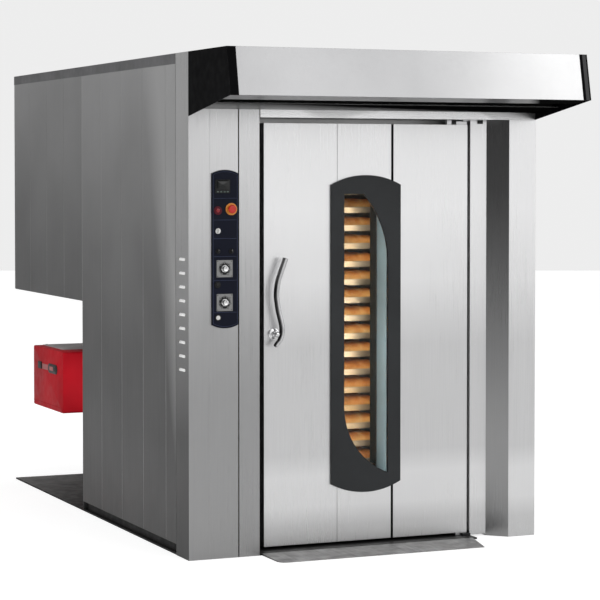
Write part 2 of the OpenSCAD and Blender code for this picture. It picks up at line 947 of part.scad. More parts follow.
// Upper bracket with its pin, and the lower pin with its collar
module pivot_brackets() {
    color("silver") place() {
        box(pivot_x - bracket_reach, hinge_jamb_x, pivot_y - bracket_half, pivot_y + bracket_half,
            header_z - bracket_t, header_z);
        rod_z(pivot_x, pivot_y, pivot_d / 2, door_top + 3, header_z - bracket_t);
        rod_z(pivot_x, pivot_y, pivot_d / 2 + 10, base_t, base_t + 1);
        rod_z(pivot_x, pivot_y, pivot_d / 2, base_t + 1, door_z - 1);
    }
}

// ---- Control panel ----

// Arched plate with the display and button rings raised on it, bored for every control
module control_panel() {
    color("midnightblue") place()
        difference() {
            union() {
                upright(arched(panel_x0, panel_x1, panel_z, panel_top, panel_rise), -panel_t, 0);
                box(panel_x0 + 17, panel_x0 + 84, -panel_t - 3, -panel_t, display_z, display_z + 55);
                for (place_xz = [red_at, black_at, white_at])
                    rod_y(place_xz[0], place_xz[1], ring_r, -panel_t - 3, -panel_t);
            }
            for (place_xz = [red_at, black_at, white_at])
                rod_y(place_xz[0], place_xz[1], button_r + loose, -panel_t - 4, past);
            rod_y(estop_at[0], estop_at[1], estop_stem_r + loose, -panel_t - past, past);
            for (place_xz = [mode_at, left_at, right_at, upper_at, lower_at])
                rod_y(place_xz[0], place_xz[1], knob_shaft_r + running, -panel_t - past, past);
        }
}

// Square scale plates behind the two dials
module dial_plates() {
    color("silver") place()
        for (place_xz = [upper_at, lower_at])
            difference() {
                box(place_xz[0] - dial_w / 2, place_xz[0] + dial_w / 2, -panel_t - dial_t, -panel_t,
                    place_xz[1] - dial_w / 2, place_xz[1] + dial_w / 2);
                rod_y(place_xz[0], place_xz[1], knob_shaft_r + loose,
                    -panel_t - dial_t - past, -panel_t + past);
            }
}

module estop_collar() {
    color("gold") place()
        difference() {
            rod_y(estop_at[0], estop_at[1], 27, -panel_t - 4, -panel_t);
            rod_y(estop_at[0], estop_at[1], estop_stem_r + loose, -panel_t - 5, -panel_t + past);
        }
}

// Mushroom head on its stem
module estop_button() {
    y = -panel_t - 4 - estop_travel - 2;
    color("red") place() {
        rod_y(estop_at[0], estop_at[1], estop_stem_r, y, -past);
        translate([estop_at[0], y, estop_at[1]])
            rotate([90, 0, 0])
                rotate_extrude($fn = round_fn)
                    intersection() {
                        translate([0, 8 - 40])
                            circle(r = 40, $fn = 2 * round_fn);
                        square([19, 12]);
                    }
    }
}

// A button's cap with the plunger behind it
module push_button(place_xz) {
    rod_y(place_xz[0], place_xz[1], button_r, -panel_t - 3 - button_travel - 1, -past);
}

module red_button() {
    color("red") place() push_button(red_at);
}

module black_button() {
    color("black") place() push_button(black_at);
}

module white_button() {
    color("white") place() push_button(white_at);
}

// A round knob with a raised pointer bar and the shaft in the panel
module knob(place_xz, r, deep, base) {
    front = base - loose - deep;
    rod_y(place_xz[0], place_xz[1], r, front, base - loose);
    box(place_xz[0] - r * 0.22, place_xz[0] + r * 0.22, front - 3, front, place_xz[1] - r * 0.9,
        place_xz[1] + r * 0.9);
    rod_y(place_xz[0], place_xz[1], knob_shaft_r, base - loose, -past);
}

module mode_selector() {
    color("silver") place() knob(mode_at, 13, 12, -panel_t);
}

module left_knob() {
    color("black") place() knob(left_at, 11, 12, -panel_t);
}

module right_knob() {
    color("black") place() knob(right_at, 11, 12, -panel_t);
}

module upper_dial_knob() {
    color("black") place() knob(upper_at, 16, 16, -panel_t - dial_t);
}

module lower_dial_knob() {
    color("black") place() knob(lower_at, 16, 16, -panel_t - dial_t);
}

// ---- Door ----

// Three skins; the middle one carries the hole of the window
module door_outer_skins() {
    left_end = leaf_x0 - 31;
    groove_at = leaf_x1 + 20;
    color("silver") place() {
        difference() {
            box(door_x, left_end, door_y, door_y + skin, door_z, door_top);
            rod_y(axis_x, axis_z, spindle_r + loose, door_y - past, door_y + skin + past);
        }
        difference() {
            box(left_end + 1.5, groove_at, door_y, door_y + skin, door_z, door_top);
            upright(leaf(0), door_y - past, door_y + skin + past);
        }
        box(groove_at + door_groove, door_end, door_y, door_y + skin, door_z, door_top);
    }
}

// Steel-clad insulated core: window hole, groove, spindle bore and latch pocket
module door_core() {
    y0 = door_y + skin;
    y1 = door_back - skin;
    pocket = latch_reach + roller_r + loose;
    color("gray") place()
        difference() {
            box(door_x, door_end, y0, y1, door_z, door_top);
            upright(pane(glass_rim + loose), y0 - past, y1 + past);
            box(leaf_x1 + 20, leaf_x1 + 20 + door_groove, y0 - past, y0 + door_groove_d, door_z - past,
                leaf_z0 - 40);
            box(leaf_x1 + 20, leaf_x1 + 20 + door_groove, y0 - past, y0 + door_groove_d, leaf_z1 + 40,
                door_top + past);
            rod_y(axis_x, axis_z, spindle_r + running, y0 - past, y1 + past);
            box(door_x - past, axis_x + 16, latch_y - roller_w / 2 - 2, latch_y + roller_w / 2 + 2,
                axis_z - 16, axis_z + pocket);
        }
}

module door_inner_skin() {
    color("lightgray") place()
        difference() {
            box(door_x, door_end, door_back - skin, door_back, door_z, door_top);
            upright(pane(0), door_back - skin - past, door_back + past);
        }
}

// Black arched frame that stands proud round the glass
module window_frame() {
    color("black") place()
        difference() {
            upright(arched(leaf_x0 - win_frame, leaf_x1 + win_frame, leaf_z0 - 42, leaf_z1 + 42, win_arch),
                door_y - win_proud, door_y);
            upright(leaf(0), door_y - win_proud - past, door_y + past);
        }
}

// Outer and inner pane
module window_glass() {
    color("lightcyan", 0.4) place() {
        upright(pane(glass_rim), door_y + skin, door_y + skin + glass_t);
        upright(pane(glass_rim), door_back - skin - glass_t, door_back - skin);
    }
}

// Reveal between the two panes
module window_liner() {
    y0 = door_y + skin + glass_t;
    y1 = door_back - skin - glass_t;
    color("lightsteelblue") place()
        difference() {
            upright(pane(glass_rim), y0, y1);
            upright(pane(0), y0 - past, y1 + past);
        }
}

// Seal round three sides of the door's back, and the wiper strip under the door
module door_gasket() {
    x0 = door_x + gasket_in;
    x1 = door_end - gasket_in;
    z1 = door_top - gasket_in;
    color("dimgray") place() {
        box(x0, x0 + gasket_w, door_back, door_back + gasket_t, door_z + 10, z1);
        box(x1 - gasket_w, x1, door_back, door_back + gasket_t, door_z + 10, z1);
        box(x0 + gasket_w, x1 - gasket_w, door_back, door_back + gasket_t, z1 - gasket_w, z1);
        box(x0, x1 - 60, door_back - 20, door_back - 12, base_t + 2, door_z);
    }
}

// Upright lamp housing beside the window, on the chamber side of the door
module lamp_housing() {
    x0 = leaf_x1 + 6;
    color("gainsboro") place()
        translate([0, 0, leaf_z0 + 20])
            linear_extrude(win_h - 40)
                polygon([
                    [x0, door_back], [x0 + lamp_w, door_back], [x0 + lamp_w, door_back + lamp_d / 2],
                    [x0 + lamp_w / 2, door_back + lamp_d], [x0, door_back + lamp_d]
                ]);
}

// Steel bosses on the top and bottom of the door, bored for the pins, and the door's top stop block
module pivot_bosses() {
    color("silver") place() {
        pivot_boss(door_top, header_z - bracket_t - pivot_gap);
        pivot_boss(base_t + 1 + pivot_gap / 2, door_z);
        box(block_x, block_x + block_w, door_y + skin, door_y + skin + block_d, door_top,
            header_z - pivot_gap);
    }
}

module pivot_boss(z0, z1) {
    difference() {
        box(pivot_x - boss_w / 2, pivot_x + boss_w / 2, pivot_y - boss_w / 2, pivot_y + boss_w / 2, z0, z1);
        rod_z(pivot_x, pivot_y, pivot_d / 2 + running, z0 - past, z1 + past);
    }
}

// Round rose with the curved lever, swept along an S from the hooked end to the tip
module handle_lever() {
    y = door_y - lever_out;
    color("silver") place() {
        rod_y(axis_x, axis_z, 27, door_y - 12, door_y - loose);
        rod_y(axis_x, axis_z, 13, y, door_y - 12);
        sweep(lever_path, lever_radii, y);
    }
}

// A round bar through points along X and Z at depth y, with a radius for each point
module sweep(path, radii, y) {
    sides = 12;
    last = len(path) - 1;
    rings = [
        for (i = [0 : last])
            let (
                ahead = path[min(i + 1, last)] - path[max(i - 1, 0)],
                across = [ahead[1], -ahead[0]] / norm(ahead)
            )
            for (k = [0 : sides - 1])
                let (a = 360 * k / sides)
                [
                    axis_x + path[i][0] + across[0] * radii[i] * cos(a),
                    y - radii[i] * sin(a),
                    axis_z + path[i][1] + across[1] * radii[i] * cos(a)
                ]
    ];
    walls = [
        for (i = [0 : last - 1], k = [0 : sides - 1])
            let (a = i * sides + k, b = i * sides + (k + 1) % sides)
            each [[a, b, b + sides], [a, b + sides, a + sides]]
    ];
    first_end = [for (k = [1 : sides - 2]) [0, k + 1, k]];
    far = last * sides;
    far_end = [for (k = [1 : sides - 2]) [far, far + k, far + k + 1]];
    polyhedron(concat(rings), concat(walls, first_end, far_end));
}

// Spindle through the door, with the latch arm and its roller
module latch_arm() {
    color("gray") place() {
        rod_y(axis_x, axis_z, spindle_r, door_y - loose, door_back - skin - 2);
        box(axis_x - latch_reach, axis_x, latch_y - roller_w / 2, latch_y + roller_w / 2, axis_z - 8,
            axis_z + 8);
        rod_y(axis_x - latch_reach, axis_z, roller_r, latch_y - roller_w / 2, latch_y + roller_w / 2);
    }
}

// ---- Rack ----

// Spindle, cross plate and the two hooks that hold the rack's top rails
module rack_hanger() {
    half = rack_w / 2 - rack_bar;
    color("silver") place() {
        rod_z(mid_x, rack_y, spindle_d / 2, hanger_z, wool_top + spindle_up);
        box(mid_x - half, mid_x + half, rack_y - 30, rack_y + 30, hanger_z, hanger_z + 10);
        for (side = [-1, 1])
            translate([mid_x + side * (half - 5), rack_y, 0]) {
                box(-5, 5, -30, 30, rack_top - rack_bar - 8, hanger_z);
                box(min(0, side * 22), max(0, side * 22), -30, 30, rack_top - rack_bar - 8,
                    rack_top - rack_bar);
            }
    }
}

// Welded frame: posts, rails, tray runners and the castor forks with their pins
module rack_frame() {
    x0 = mid_x - rack_w / 2;
    x1 = mid_x + rack_w / 2;
    y0 = rack_y - rack_d / 2;
    y1 = rack_y + rack_d / 2;
    color("silver") place() {
        for (x = [x0, x1 - rack_bar], y = [y0, y1 - rack_bar])
            box(x, x + rack_bar, y, y + rack_bar, rack_foot, rack_top);
        for (x = [x0, x1 - rack_bar], z = [rack_foot, rack_top - rack_bar])
            box(x, x + rack_bar, y0 + rack_bar, y1 - rack_bar, z, z + rack_bar);
        for (y = [y0, y1 - rack_bar])
            box(x0 + rack_bar, x1 - rack_bar, y, y + rack_bar, rack_foot, rack_foot + rack_bar);
        box(x0 + rack_bar, x1 - rack_bar, y1 - rack_bar, y1, rack_top - rack_bar, rack_top);
        for (i = [0 : levels - 1], side = [0, 1])
            runner(side == 0 ? x0 + rack_bar : x1 - rack_bar - runner_w, y0, y1,
                first_level + i * level_pitch);
        for (x = [x0 + castor_inset, x1 - castor_inset], y = [y0 + castor_inset, y1 - castor_inset])
            castor_fork(x, y);
    }
}

module runner(x, y0, y1, z) {
    box(x, x + runner_w, y0, y1, z - runner_t, z);
}

// Fork with its pin, welded under the rack's foot
module castor_fork(x, y) {
    side = castor_w / 2 + 3;
    box(x - side - 3, x + side + 3, y - 22, y + 22, rack_foot - 6, rack_foot);
    for (s = [-1, 1])
        box(x + s * (side + 1.5) - 1.5, x + s * (side + 1.5) + 1.5, y - 14, y + 14, castor_z - 14,
            rack_foot - 6);
    rod_x(y, castor_z, castor_pin_r, x - side, x + side);
}

// Two wheels on the pins of the forks at y
module wheel_pair(y) {
    for (x = [mid_x - rack_w / 2 + castor_inset, mid_x + rack_w / 2 - castor_inset])
        difference() {
            rod_x(y, castor_z, castor_d / 2, x - castor_w / 2, x + castor_w / 2);
            rod_x(y, castor_z, castor_pin_r + running, x - castor_w / 2 - past, x + castor_w / 2 + past);
        }
}

module front_wheels() {
    color("dimgray") place() wheel_pair(rack_y - rack_d / 2 + castor_inset);
}

module rear_wheels() {
    color("dimgray") place() wheel_pair(rack_y + rack_d / 2 - castor_inset);
}

// Shallow pans with a rim on all four sides
module trays() {
    half_w = rack_w / 2 - rack_bar - 3;
    y0 = rack_y - rack_d / 2 - 4;
    y1 = rack_y + rack_d / 2 - rack_bar - 4;
    color("lightgray") place()
        for (i = [0 : levels - 1]) {
            z = first_level + i * level_pitch;
            difference() {
                box(mid_x - half_w, mid_x + half_w, y0, y1, z, z + tray_rim);
                box(mid_x - half_w + tray_t, mid_x + half_w - tray_t, y0 + tray_t, y1 - tray_t, z + tray_t,
                    z + tray_rim + past);
            }
        }
}

// On each tray, a batch of loaves that have grown together side by side
module loaves() {
    y0 = rack_y - rack_d / 2 + 2;
    span = rack_d - rack_bar - 20;
    pitch = span / loaf_rows;
    half = pitch / 2 + loaf_join;
    r = (half * half + loaf_h * loaf_h) / (2 * loaf_h);
    half_w = rack_w / 2 - rack_bar - 16;
    color("peru") place()
        for (i = [0 : levels - 1]) {
            z = first_level + i * level_pitch + tray_t;
            intersection() {
                union()
                    for (k = [0 : loaf_rows - 1])
                        rod_x(y0 + (k + 0.5) * pitch, z + loaf_h - r, r, mid_x - half_w, mid_x + half_w);
                box(mid_x - half_w, mid_x + half_w, y0, y0 + span, z, z + loaf_h + past);
            }
        }
}

base_plate();
corner_post();
channel_cover();
left_jamb();
header_panel();
right_pillar();
hinge_jamb();
door_portal();
left_side_panels();
right_side_panels();
rear_panels();
niche_walls();
roof_deck();
roof_trim();
canopy_hood();
canopy_end_caps();
canopy_baffle();
chamber_walls();
chamber_floor();
insulation();
heat_exchanger();
roof_collars();
fan_motor();
fan_impeller();
gearmotor();
burner_casing();
burner_tube();
steam_generator();
ramp();
strike_plate();
pivot_brackets();
control_panel();
dial_plates();
estop_collar();
door_outer_skins();
door_core();
door_inner_skin();
window_frame();
window_glass();
window_liner();
door_gasket();
lamp_housing();
pivot_bosses();
handle_lever();
latch_arm();
estop_button();
red_button();
black_button();
white_button();
mode_selector();
left_knob();
right_knob();
upper_dial_knob();
lower_dial_knob();
rack_hanger();
rack_frame();
trays();
loaves();
front_wheels();
rear_wheels();
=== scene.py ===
import math
import random

import bmesh
import bpy
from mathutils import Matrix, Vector


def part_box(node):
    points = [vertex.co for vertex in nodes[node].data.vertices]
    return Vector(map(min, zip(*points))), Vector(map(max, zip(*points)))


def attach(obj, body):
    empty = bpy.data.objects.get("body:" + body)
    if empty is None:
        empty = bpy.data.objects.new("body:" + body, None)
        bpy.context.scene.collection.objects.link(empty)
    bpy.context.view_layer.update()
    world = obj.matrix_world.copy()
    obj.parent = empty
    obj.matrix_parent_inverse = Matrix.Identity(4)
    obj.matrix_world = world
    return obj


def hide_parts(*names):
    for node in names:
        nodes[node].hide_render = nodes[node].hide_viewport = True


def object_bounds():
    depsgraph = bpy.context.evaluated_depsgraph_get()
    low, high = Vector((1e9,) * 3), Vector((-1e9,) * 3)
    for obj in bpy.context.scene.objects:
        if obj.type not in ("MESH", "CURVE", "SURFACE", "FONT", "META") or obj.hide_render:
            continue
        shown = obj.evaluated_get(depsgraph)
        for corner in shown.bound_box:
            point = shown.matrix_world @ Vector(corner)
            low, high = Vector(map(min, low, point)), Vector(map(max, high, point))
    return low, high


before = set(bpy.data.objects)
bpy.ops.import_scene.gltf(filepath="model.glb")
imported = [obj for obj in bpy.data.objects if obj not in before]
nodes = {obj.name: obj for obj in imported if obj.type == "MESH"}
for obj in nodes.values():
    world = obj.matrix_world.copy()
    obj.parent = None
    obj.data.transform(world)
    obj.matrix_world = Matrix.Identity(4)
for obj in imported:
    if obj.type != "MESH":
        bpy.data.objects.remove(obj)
cad_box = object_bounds()

# ----------------------------------------
# Floor, light and camera. The oven stands on a plain white floor in front of a pale backdrop, in a
# soft studio that is brightest in front of the door and falls off to the left and behind.

CAMERA_TURN = math.radians(-23.34)
CAMERA_TILT = math.radians(90 - 1.83)
FLOOR_REACH = 26.5

scene = bpy.context.scene
scene.view_settings.view_transform = "Standard"


def as_colour(value):
    """A colour, where a single number stands for a neutral grey."""
    return value if isinstance(value, tuple) else (value, value, value)


def put(tree, value, socket):
    """Fills an input with a number, a vector, a colour or another node's output."""
    if isinstance(value, bpy.types.NodeSocket):
        tree.links.new(value, socket)
    else:
        socket.default_value = (*as_colour(value), 1) if socket.type == "RGBA" else value


def add_node(tree, kind, inputs=None, out=0, **settings):
    """Adds a shader node with its settings and inputs, and gives one of its outputs."""
    node = tree.nodes.new("ShaderNode" + kind)
    for name, setting in settings.items():
        setattr(node, name, setting)
    for key, value in (inputs or {}).items():
        put(tree, value, node.inputs[key])
    return node.outputs[out]


def math_node(tree, operation, a, b=0.5):
    return add_node(tree, "Math", {0: a, 1: b}, operation=operation, use_clamp=operation == "ADD")


def times(tree, a, b):
    return math_node(tree, "MULTIPLY", a, b)


def dot(tree, vector, direction):
    return add_node(tree, "VectorMath", {0: vector, 1: direction}, "Value", operation="DOT_PRODUCT")


def remap(tree, value, low, high, to_low=0.0, to_high=1.0, **settings):
    """Maps one range of values onto another, held at its ends."""
    ends = {"Value": value, "From Min": low, "From Max": high, "To Min": to_low, "To Max": to_high}
    return add_node(tree, "MapRange", ends, **settings)


def ray_kind(tree, kind):
    return add_node(tree, "LightPath", out=kind)


def seen_share(tree, glossy_share):
    """How much of the plain backdrop a ray gets: all to the camera and through glass, less in gloss."""
    gloss = times(tree, ray_kind(tree, "Is Glossy Ray"), glossy_share)
    clear = math_node(tree, "MAXIMUM", ray_kind(tree, "Is Camera Ray"), ray_kind(tree, "Is Transmission Ray"))
    return math_node(tree, "MAXIMUM", gloss, clear)


def new_material(name):
    """A material and its empty node tree."""
    mat = bpy.data.materials.new(name)
    mat.use_nodes = True
    mat.node_tree.nodes.clear()
    return mat, mat.node_tree


def show(tree, shader, kind="OutputMaterial"):
    """Puts a finished shader on the surface, or on the world."""
    put(tree, shader, tree.nodes.new("ShaderNode" + kind).inputs["Surface"])


def studio_floor():
    """White floor that still takes the oven's shadow and shows greyer in the steel's gloss."""
    mat, tree = new_material("studio_floor")
    grey = remap(tree, ray_kind(tree, "Is Glossy Ray"), 0, 1, 0.80, 0.88)
    matt = add_node(tree, "BsdfDiffuse", {"Color": grey})
    white = add_node(tree, "Emission", {"Color": 1, "Strength": 1.75})
    lift = times(tree, seen_share(tree, 0.10), 0.45)
    show(tree, add_node(tree, "MixShader", {0: lift, 1: matt, 2: white}))
    mesh = bpy.data.meshes.new("floor")
    r, c, s = FLOOR_REACH, math.cos(CAMERA_TURN), math.sin(CAMERA_TURN)
    mesh.from_pydata([(x * c - y * s, x * s + y * c, 0) for x, y in ((-r, -r), (r, -r), (r, r), (-r, r))],
                     [], [(0, 1, 2, 3)])
    floor = bpy.data.objects.new("floor", mesh)
    scene.collection.objects.link(floor)
    mesh.materials.append(mat)


def studio_world():
    """The light falls off from front to back, past a dark screen at the left; the backdrop is pale grey."""
    world = bpy.data.worlds.new("studio")
    world.use_nodes = True
    tree = world.node_tree
    tree.nodes.clear()
    outwards = add_node(tree, "TexCoord", out="Generated")
    front = dot(tree, outwards, Vector((0.42, -0.87, 0.25)).normalized())
    falloff = remap(tree, front, -0.35, 0.85, 0.27, 1.0, interpolation_type="SMOOTHSTEP")
    left = dot(tree, outwards, Vector((-0.90, -0.40, 0.12)).normalized())
    screen = remap(tree, left, 0.38, 0.72, 1.0, 0.06, interpolation_type="SMOOTHSTEP")
    room = add_node(tree, "Background", {"Color": 1,
                                         "Strength": times(tree, falloff, screen)})
    backdrop = add_node(tree, "Background", {"Color": 0.85})
    show(tree, add_node(tree, "MixShader", {0: seen_share(tree, 0.15), 1: room, 2: backdrop}), "OutputWorld")
    scene.world = world


def area_light(name, place, aim, size, watts, mirrored=True):
    lamp = bpy.data.lights.new(name, "AREA")
    lamp.shape = "RECTANGLE"
    lamp.size, lamp.size_y = size
    lamp.energy = watts
    obj = bpy.data.objects.new(name, lamp)
    obj.location = place
    obj.rotation_euler = (Vector(aim) - Vector(place)).to_track_quat("-Z", "Y").to_euler()
    obj.visible_glossy = mirrored
    scene.collection.objects.link(obj)


studio_floor()
studio_world()
area_light("front_panel", (4.5, -8.5, 5.0), (0, -1.0, 1.1), (8.0, 5.0), 130)
area_light("left_panel", (-7.0, -3.0, 4.0), (-0.8, 0, 1.0), (5.0, 4.0), 170, mirrored=False)
area_light("top_panel", (0, 0, 7.0), (0, 0, 0), (6.0, 6.0), 150, mirrored=False)

camera_data = bpy.data.cameras.new("camera")
camera_data.lens = 129.6
camera_data.shift_y = -0.10
camera = bpy.data.objects.new("camera", camera_data)
camera.location = (-4.1875, -10.0615, 1.7248)
camera.rotation_euler = (CAMERA_TILT, 0, CAMERA_TURN)
scene.collection.objects.link(camera)
scene.camera = camera

# ----------------------------------------
# Base plate and rails. A thick steel plate under the whole oven and the burner niche, with a folded
# rail along each side; painted dark and dusty with flour near the floor.


def new_group(name, inputs, outputs):
    """A shader node group with its inputs (label: default) and outputs (label: kind of socket)."""
    tree = bpy.data.node_groups.new(name, "ShaderNodeTree")
    for label, default in inputs.items():
        kind = "NodeSocketVector" if isinstance(default, tuple) else "NodeSocketFloat"
        tree.interface.new_socket(label, in_out="INPUT", socket_type=kind).default_value = default
    for label, kind in outputs.items():
        tree.interface.new_socket(label, in_out="OUTPUT", socket_type="NodeSocket" + kind)
    return tree, tree.nodes.new("NodeGroupInput").outputs, tree.nodes.new("NodeGroupOutput").inputs


def use_group(tree, group, **values):
    """Places a node group, sets its inputs (underscores stand for spaces) and gives its outputs."""
    node = tree.nodes.new("ShaderNodeGroup")
    node.node_tree = group
    for label, value in values.items():
        node.inputs[label.replace("_", " ")].default_value = value
    return node.outputs


def place_on(tree):
    """Where a point of the surface is, in the oven's own frame."""
    return add_node(tree, "TexCoord", out="Object")


def height_on(tree):
    return add_node(tree, "SeparateXYZ", {0: place_on(tree)}, "Z")


def noise(tree, scale, detail, roughness=0.5, vector=None):
    return add_node(tree, "TexNoise", {"Vector": vector or place_on(tree), "Scale": scale,
                                       "Detail": detail, "Roughness": roughness})


def blotches(tree, scale, detail, low, high, to_low=0.0, to_high=1.0, roughness=0.5):
    """Soft random patches over the surface, made from one stretch of a noise."""
    return remap(tree, noise(tree, scale, detail, roughness), low, high, to_low, to_high)


def blend_colour(tree, factor, low, high):
    """Mixes two colours, each given or from a node, by a factor from a node."""
    return add_node(tree, "Mix", {0: factor, 6: low, 7: high}, 2, data_type="RGBA")


def shade(colour, share):
    return tuple(min(1.0, c * share) for c in as_colour(colour))


def bump(tree, height, strength, distance, **normal):
    return add_node(tree, "Bump", {"Height": height, "Strength": strength, "Distance": distance, **normal})


def turned(tree, direction):
    """How far a surface is turned towards a direction: 1 when it faces it, -1 when it faces away."""
    return dot(tree, add_node(tree, "NewGeometry", out="Normal"), direction)


def build_edge_wear():
    """Soft Edge is a normal rounded over the sheet's corners; Wear is 1 on the outer corners."""
    tree, given, result = new_group("edge_wear", {"Radius": 0.002, "Patchiness": 0.5},
                                    {"Soft Edge": "Vector", "Wear": "Float"})
    rounded = add_node(tree, "Bevel", {"Radius": given["Radius"]}, samples=4)
    edge = remap(tree, turned(tree, rounded), 0.98, 0.80)
    patches = blotches(tree, 14.0, 4.0, 0.35, 0.65)
    keep = times(tree, patches, given["Patchiness"])
    put(tree, times(tree, edge, keep), result["Wear"])
    put(tree, rounded, result["Soft Edge"])
    return tree


def build_low_dust():
    """Dust is 1 near the floor and fades out with height, broken up by patches."""
    tree, given, result = new_group("low_dust", {"Height": 0.25}, {"Dust": "Float"})
    fade = remap(tree, math_node(tree, "DIVIDE", height_on(tree), given["Height"]), 0.0, 1.0, 1.0, 0.0)
    patches = blotches(tree, 9.0, 6.0, 0.3, 0.7, 0.2, 1.0)
    put(tree, times(tree, fade, patches), result["Dust"])
    return tree


edge_wear = build_edge_wear()
low_dust = build_low_dust()


def dusted(tree, base, height, amount, colour):
    """Flour dust over a colour, up to a height above the floor."""
    dust = use_group(tree, low_dust, Height=height)["Dust"]
    return blend_colour(tree, times(tree, dust, amount), base, colour)


def surfaced(mat, inputs):
    """Gives a material its one shader, with these inputs."""
    show(mat.node_tree, add_node(mat.node_tree, "BsdfPrincipled", inputs))
    return mat


def painted(name, colour, worn, rough, wear=0.5, dust=0.0, orange_peel=0.12, specular=0.5, painted_side_shade=0.0,
            painted_glow=0.0):
    """Sprayed paint: fine orange peel, slightly uneven gloss, bare metal on knocked corners; optionally
    painted shade on upright faces and a painted glow.
    """
    mat, tree = new_material(name)
    edge = use_group(tree, edge_wear, Radius=0.0025, Patchiness=wear)
    cloud = blotches(tree, 3.5, 3.0, 0.35, 0.65)
    base = blend_colour(tree, cloud, shade(colour, 0.86), shade(colour, 1.12))
    base = blend_colour(tree, edge["Wear"], base, worn)
    if dust:
        base = dusted(tree, base, 0.22, dust, (0.42, 0.40, 0.37))
    # Painted shade: upright faces darkened towards 0.12 of the colour.
    if painted_side_shade:
        upright = math_node(tree, "SUBTRACT", 1.0, math_node(tree, "ABSOLUTE", turned(tree, (0, 0, 1))))
        amount = times(tree, upright, painted_side_shade)
        base = blend_colour(tree, amount, base, shade(colour, 0.12))
    gloss = blotches(tree, 22.0, 4.0, 0.3, 0.7, rough * 0.85, rough * 1.2)
    peel = bump(tree, noise(tree, 420.0, 1.0), orange_peel, 0.0006, Normal=edge["Soft Edge"])
    # The emission strength is painted light: a glow on a part that is no lamp.
    return surfaced(mat, {
        "Base Color": base, "Roughness": gloss, "Normal": peel, "Specular IOR Level": specular,
        "Emission Strength": painted_glow})


def lay_over(mat, amount, colour):
    """Blends another tone over a finish by an amount from a node, and gives the finish's shader."""
    shader = next(node for node in mat.node_tree.nodes if node.type == "BSDF_PRINCIPLED")
    base = shader.inputs["Base Color"]
    put(mat.node_tree, blend_colour(mat.node_tree, amount, base.links[0].from_socket, colour), base)
    return shader


def filmed(mat, colour, aim, low, high, facing, strength, matt=False):
    """Lays a soft-edged layer of another tone over a finish, past a line, on the faces turned one way; here
    it paints shade, light and reflection, and the darker rear part of the left side.
    """
    tree = mat.node_tree
    past = remap(tree, dot(tree, place_on(tree), aim), low, high, 0.0, strength)
    amount = times(tree, past, remap(tree, turned(tree, facing), 0.82, 0.95))
    shader = lay_over(mat, amount, colour)
    if matt:
        shader.inputs["Specular IOR Level"].default_value = 0.0
        put(tree, math_node(tree, "SUBTRACT", 1.0, amount), shader.inputs["Metallic"])
    return mat


def dress(material, *names):
    """Gives CAD nodes their finish."""
    for name in names:
        for slot in nodes[name].material_slots:
            slot.material = material


# Painted shade on the base plate: its upright faces are darker, and its top darkens towards the oven's wall.
# The flour dust near the floor is real.
base_paint = painted("base_paint", (0.080, 0.080, 0.083), 0.22, 0.55, wear=0.3, dust=0.30,
                     specular=0.25, painted_side_shade=0.92)
dress(filmed(base_paint, 0.010, (0, -1, 0), -1.45, -0.55, (0, 0, 1), 0.90), "base_plate")

# ----------------------------------------
# Front sheets. Corner post, cover strip, jambs, header and right pillar are folded from one and a
# half millimetre stainless sheet, ground along its length, and screwed to the frame from inside.

UPRIGHT = (420.0, 420.0, 3.0)
LENGTHWISE = (420.0, 3.0, 420.0)
SIDEWAYS = (3.0, 420.0, 420.0)


def build_dulling():
    """Painted shade that grows from 0 at one height to 1 at another, along a wandering border."""
    tree, given, result = new_group("height_shading", {"From Height": 2.0, "To Height": 0.2}, {"Painted_Shade": "Float"})
    wander = blotches(tree, 1.2, 2.0, 0.3, 0.7, -0.12, 0.12)
    height = add_node(tree, "Math", {0: height_on(tree), 1: wander}, operation="ADD")
    put(tree, remap(tree, height, given["From Height"], given["To Height"], interpolation_type="SMOOTHSTEP"),
        result["Painted_Shade"])
    return tree


def build_brushed():
    """Ground finish: Streaks run long and thin along the grain, Cloud is a slow unevenness."""
    tree, given, result = new_group("brushed_grain", {"Stretch": UPRIGHT, "Cloud Size": 1.4},
                                    {"Streaks": "Float", "Cloud": "Float"})
    pull = add_node(tree, "VectorMath", {0: place_on(tree), 1: given["Stretch"]}, operation="MULTIPLY")
    put(tree, remap(tree, noise(tree, 1.0, 3.0, 0.65, pull), 0.3, 0.7), result["Streaks"])
    put(tree, blotches(tree, given["Cloud Size"], 3.0, 0.3, 0.7), result["Cloud"])
    return tree


height_shading = build_dulling()
brushed_grain = build_brushed()


